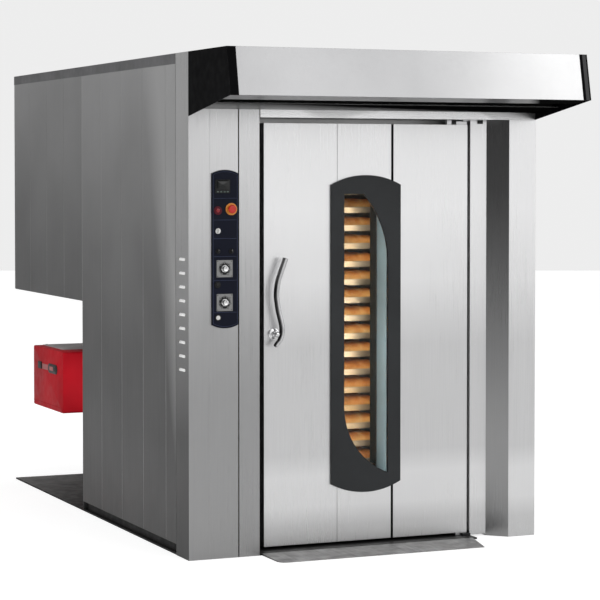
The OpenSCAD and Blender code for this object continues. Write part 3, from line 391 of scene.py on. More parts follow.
def brushed(name, colour, rough, grain, contrast=0.05, cloudiness=0.08, dust=0.0, height_shade=0.0, shade_from=2.0,
            shade_to=0.2, film=0.0, shade_facing=(-1, 0, 0)):
    """Ground stainless sheet: streaked colour and gloss, slow clouding, softly rounded folds, and optionally
    painted shade between two heights and on the faces turned one way.
    """
    mat, tree = new_material(name)
    edge = use_group(tree, edge_wear, Radius=0.0018, Patchiness=0.35)
    grind = use_group(tree, brushed_grain, Stretch=grain)
    base = blend_colour(tree, grind["Streaks"], shade(colour, 1 - contrast), shade(colour, 1 + contrast))
    base = blend_colour(tree, times(tree, grind["Cloud"], cloudiness), base,
                        shade(colour, 0.55))
    # Painted shade: darkening towards a quarter of the colour between two heights.
    if height_shade:
        lower = use_group(tree, height_shading, From_Height=shade_from, To_Height=shade_to)["Painted_Shade"]
        base = blend_colour(tree, times(tree, lower, height_shade), base, shade(colour, 0.25))
    # Painted shade on the faces turned one way (film), limited by the height shade where that is set.
    if film:
        amount = times(tree, math_node(tree, "MAXIMUM", turned(tree, shade_facing), 0.0), film)
        if height_shade:
            amount = times(tree, amount, lower)
        base = blend_colour(tree, amount, base, shade(colour, 0.12))
    base = blend_colour(tree, edge["Wear"], base, shade(colour, 1.3))
    if dust:
        base = dusted(tree, base, 0.35, dust, (0.50, 0.48, 0.45))
    uneven = math_node(tree, "ADD", times(tree, grind["Streaks"], 0.12),
                       times(tree, grind["Cloud"], 0.08))
    return surfaced(mat, {
        "Base Color": base, "Metallic": 1.0, "Roughness": math_node(tree, "ADD", uneven, rough - 0.08),
        "Anisotropic": 0.35,
        "Normal": bump(tree, grind["Streaks"], 0.06, 0.0003, Normal=edge["Soft Edge"])})


corner = Vector((cad_box[0][0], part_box("corner_post")[0].y, 0))


def at(x, y, z):
    """A point from millimetres counted from the oven's left side, its front face and the floor."""
    return corner + Vector((x, y, z)) / 1000


def piece(name, bm, material, body, *replaced, smooth=40):
    """Makes an object of a mesh, shades its soft corners round and lets it ride on a body."""
    bmesh.ops.recalc_face_normals(bm, faces=bm.faces)
    mesh = bpy.data.meshes.new(name)
    bm.to_mesh(mesh)
    bm.free()
    mesh.materials.append(material)
    mesh.shade_smooth()
    mesh.set_sharp_from_angle(angle=math.radians(smooth))
    obj = bpy.data.objects.new(name, mesh)
    scene.collection.objects.link(obj)
    if replaced:
        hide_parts(*replaced)
    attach(obj, body)


def skin(bm, rows):
    """Faces all round from each row of corners to the next."""
    for low, high in zip(rows, rows[1:]):
        for k in range(len(low)):
            n = (k + 1) % len(low)
            bm.faces.new((low[k], low[n], high[n], high[k]))


def loft(bm, rings):
    """Skins rings of points one after another, and closes both ends with a fan."""
    rows = [[bm.verts.new(point) for point in ring] for ring in rings]
    skin(bm, rows)
    for row in (rows[0], rows[-1]):
        middle = bm.verts.new(sum((v.co for v in row), Vector()) / len(row))
        for k in range(len(row)):
            bm.faces.new((row[k], row[(k + 1) % len(row)], middle))


def ring(centre, across, other, width, height, sides=24, power=1.0):
    """Points round an oval; a power under 1 makes it squarer."""
    points = []
    for k in range(sides):
        c, s = math.cos(math.tau * k / sides), math.sin(math.tau * k / sides)
        points.append(centre + across * math.copysign(abs(c) ** power, c) * width
                      + other * math.copysign(abs(s) ** power, s) * height)
    return points


def slab(bm, u0, u1, w0, w1, v0, v1, soft=0.6, corner_r=0.0, spot=at):
    """A plate in millimetres, with round corners and soft front edges; spot places (u, depth, v)."""
    corner_r = max(corner_r, soft)
    outline = []
    for cu, cv, start in ((u1 - corner_r, v1 - corner_r, 0), (u0 + corner_r, v1 - corner_r, 90),
                          (u0 + corner_r, v0 + corner_r, 180), (u1 - corner_r, v0 + corner_r, 270)):
        for step in range(5):
            a = math.radians(start + 22.5 * step)
            outline.append((cu, cv, math.cos(a), math.sin(a)))
    loft(bm, [[spot(cu + c * (corner_r - inset), w, cv + s * (corner_r - inset)) for cu, cv, c, s in outline]
              for w, inset in ((w1, 0), (w0 + soft, 0), (w0 + soft * 0.3, soft * 0.3), (w0, soft))])


def banded(mat):
    """Painted reflection of the room on a front sheet: a paler band low down and a paler upper half, darker
    at the very top and at the foot.
    """
    filmed(mat, (0.97, 0.97, 0.975), (0, 0, 1), 0.92, 1.22, (0, -1, 0), 0.60)
    filmed(mat, (0.50, 0.50, 0.505), (0, 0, 1), 1.55, 1.95, (0, -1, 0), 0.40)
    filmed(mat, (0.95, 0.95, 0.955), (0, 0, -1), -0.43, -0.33, (0, -1, 0), 0.50)
    filmed(mat, 0.45, (0, 0, -1), -0.19, -0.10, (0, -1, 0), 0.40)


front_steel = brushed("front_steel", (0.69, 0.69, 0.695), 0.30, UPRIGHT, dust=0.1)
# Painted reflection of the room in bands on the front sheets.
banded(front_steel)
# Painted shade on the right pillar's slanted face, turned left and forward: darkened most under the canopy
# and lightly below about a metre.
filmed(front_steel, 0.05, (0, 0, 1), 0.45, 1.65, (-0.707, -0.707, 0), 0.75)
filmed(front_steel, 0.05, (0, 0, 1), -1.0, -0.9, (-0.707, -0.707, 0), 0.40)
dress(front_steel, "right_pillar", "hinge_jamb")
# The header is set paler than the other front sheets, painted light, and darkens towards its top under the
# canopy, painted shade.
dress(brushed("header_steel", (0.76, 0.76, 0.765), 0.26, SIDEWAYS, height_shade=0.35, shade_from=1.984, shade_to=2.010),
      "header_panel")
# The cover strip, left jamb and corner post are set darker than the other front sheets and darken downwards
# from about 1.75 m to 0.7 m: painted reflection of a dark part of the room.
dress(brushed("post_steel", (0.63, 0.63, 0.635), 0.30, UPRIGHT, dust=0.1, height_shade=0.53, shade_from=1.75,
              shade_to=0.70), "channel_cover", "left_jamb")
corner_steel = brushed("corner_steel", (0.63, 0.63, 0.635), 0.30, UPRIGHT, dust=0.1, height_shade=0.53,
                       shade_from=1.75, shade_to=0.70)
# The corner post's left face is paler high up, painted light, and darker low down, painted shade.
filmed(corner_steel, 0.92, (0, 0, 1), 1.3, 2.0, (-1, 0, 0), 0.55)
filmed(corner_steel, 0.04, (0, 0, -1), -1.15, -0.55, (-1, 0, 0), 0.80)
dress(corner_steel, "corner_post")

VENTS, LOWEST_VENT, VENT_PITCH = 9, 841, 61.5
VENT_R = 7
VENT_ENDS = (51, 123)


def vent_blades():
    """One slanting pale blade in each slot of the corner post, made bright by a painted glow that stands for
    light through the slots.
    """
    bm = bmesh.new()
    for k in range(VENTS):
        z = LOWEST_VENT + VENT_PITCH * k
        rings = []
        for deep, inset in ((0.0, 0.9), (0.3, 0.4), (1.6, 0.4)):
            row = []
            for side, y in ((0, VENT_ENDS[1]), (180, VENT_ENDS[0])):
                for step in range(9):
                    a = math.radians(side - 90 + 22.5 * step)
                    up = math.sin(a) * (VENT_R - inset)
                    row.append(at(2.9 + up * 0.38 + deep, y + math.cos(a) * (VENT_R - inset), z + up))
            rings.append(row)
        loft(bm, rings)
    piece("vent_blades", bm, vent_enamel_painted_glow, "oven_body")


# Pale enamel with a painted glow: painted light in the vent slots.
vent_enamel_painted_glow = painted("vent_enamel_painted_glow", (0.84, 0.84, 0.83), 0.5, 0.35, wear=0.1, orange_peel=0.05,
                      painted_glow=0.28)
vent_blades()

# ----------------------------------------
# Side, rear and niche panels. Upright cassettes of the same stainless sheet in a coarser grind, hung
# side by side with a narrow groove between them, and the roof sheet with its dark edge. The sheets
# darken downwards and on the faces turned left, which is painted shade; the left side is paler high up
# towards the front, which is painted light, and darker over its rear part.

# Painted shade low down and on the faces turned left; painted light high up at the front of the left side.
side_steel = brushed("side_steel", (0.68, 0.68, 0.685), 0.40, UPRIGHT, contrast=0.08, cloudiness=0.2,
                     dust=0.1, height_shade=0.93, shade_from=2.5, shade_to=0.5, film=0.50)
filmed(side_steel, 0.05, (0, 1, 0), 0.400, 0.415, (-1, 0, 0), 0.20)
filmed(side_steel, 0.80, (0, -1, 0.25), 1.06, 1.26, (-1, 0, 0), 0.62)
dress(side_steel, "left_side_panels", "right_side_panels", "rear_panels", "niche_walls")


def joint_strips(name, node, along, face, inwards):
    """Cover strips in the grooves of a row of panels, whose edges are read off the panels' own corners."""
    points = [vertex.co for vertex in nodes[node].data.vertices]
    edges = sorted({round(point[along], 4) for point in points})
    across = Vector((0, 0, 0))
    across[along] = 1
    bm = bmesh.new()
    for start, end in zip(edges[1:-1:2], edges[2:-1:2]):
        beside = [point.z for point in points if abs(point[along] - end) < 0.0002]
        low, high = min(beside) + 0.001, max(beside) - 0.001
        middle = Vector((face, face, 0)) + Vector((inwards, inwards, 0)) * 0.0019
        middle[along] = (start + end) / 2
        loft(bm, [ring(Vector((middle.x, middle.y, z)), across, across.cross(Vector((0, 0, 1))),
                       (end - start) * 0.49 * swell, 0.0016 * swell, 12, 0.5)
                  for z, swell in ((low, 0.7), (low + 0.001, 1.0), (high - 0.001, 1.0), (high, 0.7))])
    piece(name, bm, strip_steel, "oven_body")


# The strips are much paler than the panels so the grooves read as light lines, a painted highlight; they
# darken downwards, painted shade, and are darker over the rear part.
strip_steel = brushed("strip_steel", 0.96, 0.34, UPRIGHT, height_shade=0.50, shade_from=2.3, shade_to=1.1)
filmed(strip_steel, 0.34, (0, 1, 0), 0.50, 0.58, (-1, 0, 0), 0.85)
joint_strips("left_joint_strips", "left_side_panels", 1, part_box("left_side_panels")[0].x, 1)
joint_strips("right_joint_strips", "right_side_panels", 1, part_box("right_side_panels")[1].x, -1)
joint_strips("rear_joint_strips", "rear_panels", 0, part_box("rear_panels")[1].y, -1)
dress(brushed("roof_steel", 0.42, 0.5, LENGTHWISE, cloudiness=0.3), "roof_deck")
dress(painted("trim_paint", (0.12, 0.12, 0.125), 0.3, 0.45, wear=0.4), "roof_trim")
dress(brushed("collar_steel", 0.6, 0.35, LENGTHWISE), "roof_collars")

# ----------------------------------------
# Canopy. A folded stainless hood over the door that catches steam, with dark end caps at both
# sides, a plain baffle inside it and a slot for the steam along its front.

# Painted shade and reflection on the hood: its steel is set darker than the front sheets, its underside is
# darker and turns black and matt towards the right end, and its front grows paler towards the right.
canopy_steel = brushed("canopy_steel", (0.38, 0.38, 0.385), 0.34, UPRIGHT, cloudiness=0.12, film=0.30,
                       shade_facing=(0, 0, -1))
filmed(canopy_steel, 0.006, (1, -0.56, 0), 1.47, 1.53, (0, 0, -1), 1.0, matt=True)
filmed(canopy_steel, 0.8, (1, 0, 0), 0.0, 0.75, (0, -1, 0), 0.5)
dress(canopy_steel, "canopy_hood")
# Painted shade inside the hood: the baffle is set far darker than the other sheets and turns black and matt
# towards the front.
baffle_steel = brushed("baffle_steel", 0.22, 0.40, SIDEWAYS, cloudiness=0.1)
filmed(baffle_steel, 0.003, (0.18, -1, 0), 1.10, 1.27, (0, 0, -1), 1.0, matt=True)
dress(baffle_steel, "canopy_baffle")
# The caps are black paint. Their pale worn corners stand for the highlight along the rounded edges as well as
# wear, and a grey band edged in black on the right cap's front flange is a painted highlight.
cap_paint = painted("cap_paint", (0.0035, 0.0035, 0.004), 0.30, 0.5, wear=0.25, specular=0.02)
filmed(cap_paint, (0.075, 0.075, 0.077), (1, 0, 0), 0.8465, 0.8490, (0, -1, 0), 1.0)
filmed(cap_paint, 0.004, (1, 0, 0), 0.8640, 0.8665, (0, -1, 0), 1.0)
dress(cap_paint, "canopy_end_caps")


def steam_duct():
    """Channel over the steam slot, hung between the hood's lip and its baffle, painted near black as shade
    inside the hood.
    """
    outline = [(-352, 2036), (-352, 2112), (-226, 2112), (-226, 2023), (-227.5, 2023), (-227.5, 2110),
               (-350.5, 2110), (-350.5, 2036)]
    bm = bmesh.new()
    loft(bm, [[at(x, y, z) for y, z in outline] for x in (42, 60, 1685, 1703)])
    piece("steam_duct", bm, painted_shade_black, "oven_body", smooth=20)


# Near-black paint for the channel: painted shade seen through the steam slot.
painted_shade_black = painted("painted_shade_black", 0.004, 0.02, 0.8, wear=0.2, specular=0.05)
steam_duct()

# ----------------------------------------
# Chamber, exchanger and what is hidden behind the panels: stainless walls and floor blued by the
# heat, mineral wool, the sooty burner drum with its tubes, the fan, the gearbox and the troughs.


def heat_steel(name, colour, tint, rough):
    """Thin steel that has been hot: brushed, with straw and blue-brown heat clouds."""
    mat, tree = new_material(name)
    edge = use_group(tree, edge_wear, Radius=0.002, Patchiness=0.3)
    grind = use_group(tree, brushed_grain, Stretch=UPRIGHT, Cloud_Size=3.0)
    warm = blotches(tree, 2.6, 5.0, 0.42, 0.68, 0.0, 0.9)
    base = blend_colour(tree, grind["Streaks"], shade(colour, 0.88), colour)
    return surfaced(mat, {
        "Base Color": blend_colour(tree, warm, base, tint), "Metallic": 1.0,
        "Roughness": remap(tree, grind["Cloud"], 0, 1, rough - 0.06, rough + 0.12),
        "Normal": bump(tree, grind["Streaks"], 0.12, 0.0004, Normal=edge["Soft Edge"])})


dress(heat_steel("chamber_steel", (0.46, 0.44, 0.40), (0.34, 0.25, 0.17), 0.38),
      "chamber_walls", "chamber_floor")
dress(brushed("portal_steel", 0.45, 0.38, UPRIGHT), "door_portal")
dress(heat_steel("sooty_steel", (0.24, 0.20, 0.17), (0.10, 0.08, 0.07), 0.6),
      "heat_exchanger", "burner_tube", "steam_generator")
dress(painted("motor_paint", (0.10, 0.13, 0.16), 0.35, 0.42), "fan_motor", "gearmotor")
dress(brushed("impeller_steel", 0.5, 0.35, SIDEWAYS), "fan_impeller")


def mineral_wool():
    """Yellow-brown mineral wool: soft clumps, fine crossing fibres, no shine."""
    mat, tree = new_material("mineral_wool")
    clumps = blotches(tree, 30.0, 8.0, 0.3, 0.7, roughness=0.7)
    fibres = noise(tree, 260.0, 4.0, 0.8)
    base = blend_colour(tree, clumps, (0.30, 0.24, 0.10), (0.62, 0.54, 0.30))
    base = blend_colour(tree, remap(tree, fibres, 0.4, 0.7, 0, 0.6), base, (0.75, 0.70, 0.5))
    return surfaced(mat, {
        "Base Color": base, "Roughness": 0.95, "Specular IOR Level": 0.1,
        "Normal": bump(tree, fibres, 0.6, 0.004)})


dress(mineral_wool(), "insulation")

# ----------------------------------------
# Burner. A bought-in burner under a pressed steel cover in red paint, hung on the niche's wall and
# fired from the side into the drum; its sockets and its flame viewer are in the cover's open side.

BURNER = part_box("burner_casing")
BURNER_SIZE = (BURNER[1] - BURNER[0]) * 1000
COVER_INSET = 5
LID_FROM = Vector((BURNER_SIZE.x * 0.16, BURNER_SIZE.y * 0.30, 0))
VIEWER, SOCKET, FITTINGS_UP = BURNER_SIZE.y * 0.34, BURNER_SIZE.y * 0.77, BURNER_SIZE.z * 0.68


def lathe(bm, centre, axis, profile, sides=32):
    """Turns a profile of (distance along the axis, radius) steps in millimetres round an axis."""
    axis = Vector(axis).normalized()
    across = axis.orthogonal().normalized()
    other = axis.cross(across)
    loft(bm, [ring(centre + axis * along / 1000, across, other, radius / 1000, radius / 1000, sides)
              for along, radius in profile])


def burner_spot(u, w, v):
    """A point on the cover's open side: u along the oven, w inwards, v up from its lowest edge, in mm."""
    return BURNER[0] + Vector((w, u, v)) / 1000


def lid_spot(u, w, v):
    """A point on the cover's top: u inwards, v along the oven, w down from the top, in mm."""
    return BURNER[0] + Vector((u, v, BURNER_SIZE.z - w)) / 1000


def burner_cover():
    """Pressed cover with round corners, a bead above its foot and four screws in its open side."""
    bm = bmesh.new()
    slab(bm, 0, BURNER_SIZE.y, COVER_INSET, BURNER_SIZE.x, 0, BURNER_SIZE.z - 2, 3.0, 12, burner_spot)
    slab(bm, 4, BURNER_SIZE.y - 4, COVER_INSET - 1.6, COVER_INSET + 2, 22, 25, 0.6, 1, burner_spot)
    for u in (18, BURNER_SIZE.y - 18):
        for v in (12, BURNER_SIZE.z - 18):
            lathe(bm, burner_spot(u, COVER_INSET, v), (-1, 0, 0),
                  [(-1, 6), (1.2, 5.8), (2.4, 4.4), (2.7, 2)], 20)
    piece("burner_cover", bm, burner_red, "oven_body", "burner_casing", smooth=35)


def burner_lid():
    """Grey plate with round corners on the cover's top, held by four screws; its pale grey is painted
    reflection on the cover's top.
    """
    bm = bmesh.new()
    slab(bm, LID_FROM.x, BURNER_SIZE.x - 2, 0.2, 3, LID_FROM.y, BURNER_SIZE.y - 4, 0.8, 14, lid_spot)
    for u in (LID_FROM.x + 18, BURNER_SIZE.x - 22):
        for v in (LID_FROM.y + 18, BURNER_SIZE.y - 24):
            lathe(bm, lid_spot(u, 0.4, v), (0, 0, 1), [(0, 7), (1.6, 6.8), (2.6, 5.6), (3.0, 3.0)], 20)
    piece("burner_lid", bm, burner_grey, "oven_body", smooth=30)


def burner_fittings():
    """A flame viewer in a long black rubber frame, a black plug socket and blank plates beside them."""
    reach, rise = BURNER_SIZE.y * 0.15, BURNER_SIZE.z * 0.078
    half = BURNER_SIZE.y * 0.06
    bm = bmesh.new()
    slab(bm, VIEWER - reach, VIEWER + reach, COVER_INSET - 3.0, COVER_INSET + 1, FITTINGS_UP - rise,
         FITTINGS_UP + rise, 1.2, rise * 0.9, burner_spot)
    lathe(bm, burner_spot(VIEWER - reach * 0.55, COVER_INSET - 3, FITTINGS_UP), (-1, 0, 0),
          [(-1, rise * 0.72), (1.2, rise * 0.68), (1.5, rise * 0.42), (0.2, rise * 0.36)], 32)
    slab(bm, SOCKET - half, SOCKET + half, COVER_INSET - 4.2, COVER_INSET + 1,
         FITTINGS_UP - BURNER_SIZE.z * 0.05, FITTINGS_UP + BURNER_SIZE.z * 0.07, 1.0, 6, burner_spot)
    for u, v in ((-9, 6), (9, 6), (-9, -6), (9, -6)):
        lathe(bm, burner_spot(SOCKET + u, COVER_INSET - 4.2, FITTINGS_UP + 3 + v), (-1, 0, 0),
              [(-1, 3.4), (0.4, 3.2), (0.5, 1.6)], 16)
    piece("burner_sockets", bm, moulded_black, "oven_body")
    bm = bmesh.new()
    slab(bm, VIEWER - reach * 0.15, VIEWER + reach * 0.62, COVER_INSET - 4.4, COVER_INSET + 1,
         FITTINGS_UP - rise * 0.42, FITTINGS_UP + rise * 0.42, 0.8, rise * 0.3, burner_spot)
    slab(bm, VIEWER + reach + 10, SOCKET - half - 8, COVER_INSET - 1.4, COVER_INSET + 1,
         FITTINGS_UP - BURNER_SIZE.z * 0.045, FITTINGS_UP + BURNER_SIZE.z * 0.045, 0.6, 3, burner_spot)
    piece("burner_plate", bm, burner_faded, "oven_body")


def niche_glow():
    """Light thrown back by the pale floor in front of the niche, on the cover's front."""
    spot = burner_spot(-170, 120, 150)
    area_light("niche_bounce", spot, spot + Vector((0.02, 0.4, 0.02)), (0.25, 0.3), 0.22, mirrored=False)


moulded_black = painted("moulded_black", (0.010, 0.010, 0.011), 0.06, 0.40, orange_peel=0.05,
                        specular=0.3)
# The lid's pale grey stands for the sheen on the red cover's top: painted reflection.
burner_grey = painted("burner_grey", (0.66, 0.60, 0.60), 0.5, 0.45, wear=0.3)
burner_faded = painted("burner_faded", (0.52, 0.17, 0.17), (0.7, 0.5, 0.5), 0.5, wear=0.3, dust=0.3)
burner_red = painted("burner_red", (0.60, 0.009, 0.020), (0.10, 0.02, 0.02), 0.5, wear=0.4, specular=0.1)
dress(burner_red, "burner_casing")
burner_cover()
burner_lid()
burner_fittings()
niche_glow()

# ----------------------------------------
# Ramp. A thin wedge of bare mill steel in front of the door, over which the rack is rolled in;
# its face is scuffed by the castors.


def ramp_plate():
    """Worn mill finish: grey with matt wheel marks running in, brighter on the edges."""
    mat, tree = new_material("ramp_plate")
    edge = use_group(tree, edge_wear, Radius=0.002, Patchiness=1.0)
    grind = use_group(tree, brushed_grain, Stretch=(60.0, 4.0, 60.0), Cloud_Size=4.0)
    base = blend_colour(tree, grind["Streaks"], 0.20, 0.34)
    base = blend_colour(tree, grind["Cloud"], base, (0.26, 0.255, 0.25))
    return surfaced(mat, {
        "Base Color": blend_colour(tree, edge["Wear"], base, 0.6), "Metallic": 1.0,
        "Roughness": blotches(tree, 18.0, 5.0, 0.3, 0.7, 0.38, 0.62),
        "Normal": bump(tree, grind["Streaks"], 0.15, 0.0006, Normal=edge["Soft Edge"])})


dress(ramp_plate(), "ramp")

# ----------------------------------------
# Pivots, strike and latch. Machined steel, bright where it rubs, with a film of grease; black moulded
# caps close the door's pivots off.

dress(brushed("machined", (0.58, 0.58, 0.59), 0.28, SIDEWAYS),
      "pivot_brackets", "pivot_bosses", "strike_plate", "latch_arm")


def pivot_covers():
    """Two caps above the door and one below it."""
    bm = bmesh.new()
    slab(bm, 1364, 1407, 88.5, 91.5, 1945, 1963, 0.8, 2)
    slab(bm, 1478, 1504, 73, 79.9, 1946, 1963, 0.8, 2)
    slab(bm, 1396, 1440, 68, 76, 2.5, 19.5, 0.8, 2)
    piece("pivot_covers", bm, moulded_black, "oven_body")


pivot_covers()

# ----------------------------------------
# Control panel. An arched plate behind dark blue printed film: a display at its top, thin printed
# lines between the groups of controls, and moulded rings round the push buttons.

PANEL_X = (108, 234)
PANEL_Z = (1043, 1714)
PANEL_FACE = -8
LINE_Z = (1604, 1508, 1426, 1346, 1240, 1098)
LINE_DEEP = (PANEL_FACE - 0.3, PANEL_FACE + 0.2)
ARCH_RISE = 14
SHAFT_BACK = -6.9
RED_PUSH, BLACK_PUSH, WHITE_PUSH = (135, 1550), (133, 1221), (135, 1075)


def annulus(bm, centre, outer, inner, depth, sides=48, soft=0.35):
    """A flat ring in front of the panel with softly rounded rims, in millimetres."""
    profile = [(0, inner), (0, outer), (depth - soft, outer), (depth, outer - soft), (depth, inner + soft),
               (depth - soft, inner), (0, inner)]
    x, y, z = centre
    rows = []
    for along, radius in profile:
        points = ring(at(x, y - along, z), Vector((1, 0, 0)), Vector((0, 0, 1)),
                      radius / 1000, radius / 1000, sides)
        rows.append([bm.verts.new(point) for point in points])
    skin(bm, rows)


def panel_lines():
    """Printed lines: one all round inside the plate's edge, and one between each two groups."""
    bm = bmesh.new()
    for z in LINE_Z:
        slab(bm, PANEL_X[0] + 9, PANEL_X[1] - 9, *LINE_DEEP, z - 0.8, z + 0.8, 0.15)
    for x in (PANEL_X[0] + 6, PANEL_X[1] - 6):
        slab(bm, x - 0.8, x + 0.8, *LINE_DEEP, PANEL_Z[0] + 6, PANEL_Z[1] - 6, 0.15)
    half = (PANEL_X[1] - PANEL_X[0]) / 2 - 6
    radius = (half * half + ARCH_RISE * ARCH_RISE) / (2 * ARCH_RISE)
    reach = math.asin(half / radius)
    middle = (PANEL_X[0] + PANEL_X[1]) / 2
    for sign, edge in ((1, PANEL_Z[1] - 6), (-1, PANEL_Z[0] + 6)):
        rings = []
        for step in range(25):
            a = -reach + 2 * reach * step / 24
            point = at(middle + math.sin(a) * radius, PANEL_FACE - 0.05,
                       edge + sign * (ARCH_RISE - radius + math.cos(a) * radius))
            out = Vector((math.sin(a), 0, sign * math.cos(a)))
            rings.append(ring(point, out, Vector((0, 1, 0)), 0.0008, 0.00025, 8))
        loft(bm, rings)
    piece("panel_lines", bm, line_print, "oven_body")


def display():
    """Framed display: a raised bezel, the dark glass in it and three keys below."""
    bm = bmesh.new()
    slab(bm, 123, 193, PANEL_FACE - 3.6, PANEL_FACE, 1626, 1687, 1.2, 3)
    piece("display_bezel", bm, moulded_black, "oven_body")
    bm = bmesh.new()
    slab(bm, 128, 188, PANEL_FACE - 4.0, PANEL_FACE - 3.2, 1642, 1684, 0.3, 1.5)
    piece("display_glass", bm, screen_glass, "oven_body")
    bm = bmesh.new()
    for x in (130, 146, 162, 177):
        slab(bm, x, x + 9, PANEL_FACE - 4.2, PANEL_FACE - 3.2, 1630, 1636, 0.4, 1.5)
    piece("display_keys", bm, key_print, "oven_body")


def bezels():
    """Moulded rings round the buttons: black ones, and a broad dark red one round the red button."""
    bm = bmesh.new()
    for x, z in (BLACK_PUSH, WHITE_PUSH):
        annulus(bm, (x, PANEL_FACE - 2.9, z), 14.6, 10.6, 2.2, soft=0.9)
    piece("button_bezels", bm, moulded_black, "oven_body")
    bm = bmesh.new()
    annulus(bm, (RED_PUSH[0], PANEL_FACE - 2.9, RED_PUSH[1]), 19.0, 10.8, 2.2, soft=0.9)
    piece("red_bezel", bm, bezel_red, "oven_body")


dress(painted("panel_film", (0.0045, 0.006, 0.016), (0.004, 0.004, 0.006), 0.40, wear=1.0, orange_peel=0.05,
              specular=0.12), "control_panel")
line_print = painted("line_print", (0.060, 0.075, 0.140), (0.10, 0.12, 0.2), 0.5, specular=0.2)
screen_glass = painted("screen_glass", (0.004, 0.005, 0.005), 0.02, 0.12, orange_peel=0.0,
                       specular=0.4)
bezel_red = painted("bezel_red", (0.10, 0.006, 0.016), (0.2, 0.02, 0.03), 0.4, orange_peel=0.05,
                    specular=0.2)
key_print = painted("key_print", (0.10, 0.14, 0.12), 0.2, 0.5, orange_peel=0.05)
panel_lines()
display()
bezels()

# ----------------------------------------
# Dials. Two timers on square foil plates with a dark ring of ticks and plain numbers, each with a
# spun aluminium knob that has a fluted grip and a black pointer.

DIALS = (("upper", 167, 1292), ("lower", 167, 1142))
FIRST_TICK, TICK_STEP = 240, 10
TICK_R = 26.2


def dial_scale(x, z, name):
    """Dark ring with its ticks, four pins in the plate's corners, and a number at every fifth tick."""
    face = PANEL_FACE - 2
    bm = bmesh.new()
    annulus(bm, (x, face, z), 27.5, 16.5, 0.35, 64, 0.1)
    for dx, dz in ((-1, -1), (1, -1), (-1, 1), (1, 1)):
        annulus(bm, (x + dx * 33, face, z + dz * 33), 2.2, 0.6, 0.5, 16, 0.15)
    piece(name + "_dial_ring", bm, moulded_black, "oven_body")
    bm = bmesh.new()
    for k in range(31):
        a = math.radians(FIRST_TICK - k * TICK_STEP)
        long, wide = (5.0, 0.00055) if k % 5 == 0 else (2.8, 0.00035)
        c, s = math.cos(a), math.sin(a)
        side = Vector((-s, 0, c)) * wide
        low, high = (at(x + c * r, face - 0.42, z + s * r) for r in (TICK_R - long, TICK_R))
        loft(bm, [[low - side + drop, low + side + drop, high + side + drop, high - side + drop]
                  for drop in (Vector((0, 0, 0)), Vector((0, 0.00015, 0)))])
    piece(name + "_dial_ticks", bm, moulded_white, "oven_body")
    for k in range(0, 31, 5):
        a = math.radians(FIRST_TICK - k * TICK_STEP)
        curve = bpy.data.curves.new(f"{name}_dial_number_{k}", "FONT")
        curve.body = str(k)
        curve.size = 0.0068
        curve.extrude = 0.0001
        curve.align_x, curve.align_y = "CENTER", "CENTER"
        curve.materials.append(moulded_black)
        number = bpy.data.objects.new(curve.name, curve)
        number.location = at(x + math.cos(a) * 31.5, face - 0.12, z + math.sin(a) * 31.5)
        number.rotation_euler = (math.pi / 2, 0, 0)
        scene.collection.objects.link(number)
        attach(number, "oven_body")


def fluted_grip(bm, x, z, foot, top, radius, flutes, depth):
    """A knob's grip: a round bar with shallow flutes, a chamfered rim and a slightly dished face."""
    sides = flutes * 6
    rings = []
    for along, scale, cut in ((foot, 1.06, 0.0), (foot + 1.2, 1.0, 1.0), (top - 1.4, 0.97, 1.0),
                              (top - 0.4, 0.92, 0.3), (top, 0.82, 0.0), (top - 0.5, 0.70, 0.0)):
        row = []
        for k in range(sides):
            a = math.tau * k / sides
            r = radius * scale - depth * cut * (0.5 - 0.5 * math.cos(a * flutes))
            row.append(at(x + math.cos(a) * r, PANEL_FACE - along, z + math.sin(a) * r))
        rings.append(row)
    loft(bm, rings)


def dial_knob(name, x, z, body, node):
    bm = bmesh.new()
    lathe(bm, at(x, PANEL_FACE, z), (0, -1, 0),
          [(SHAFT_BACK, 3.8), (2.3, 3.8), (2.4, 15.6), (3.4, 15.9), (5.0, 15.2), (5.6, 13.6)], 48)
    fluted_grip(bm, x, z, 5.0, 21.3, 12.8, 16, 0.7)
    piece(name, bm, spun_aluminium, body, node, smooth=30)
    bm = bmesh.new()
    slab(bm, x - 0.9, x + 0.9, PANEL_FACE - 21.4, PANEL_FACE - 19.5, z + 2, z + 10.5, 0.2)
    piece(name + "_pointer", bm, moulded_black, body)


moulded_white = painted("moulded_white", (0.72, 0.72, 0.70), (0.6, 0.6, 0.58), 0.38, orange_peel=0.05)
dress(brushed("dial_foil", 0.27, 0.34, SIDEWAYS), "dial_plates")
spun_aluminium = brushed("spun_aluminium", 0.80, 0.22, SIDEWAYS)
for name, x, z in DIALS:
    dial_scale(x, z, name)
    dial_knob(name + "_dial_knob_turned", x, z, name + "_dial", name + "_dial_knob")

# ----------------------------------------
# Switches and buttons. Moulded switches with a wing to turn them by, domed push buttons, and the
# emergency stop's red mushroom head on its yellow collar.

MUSHROOM = (199, 1556)


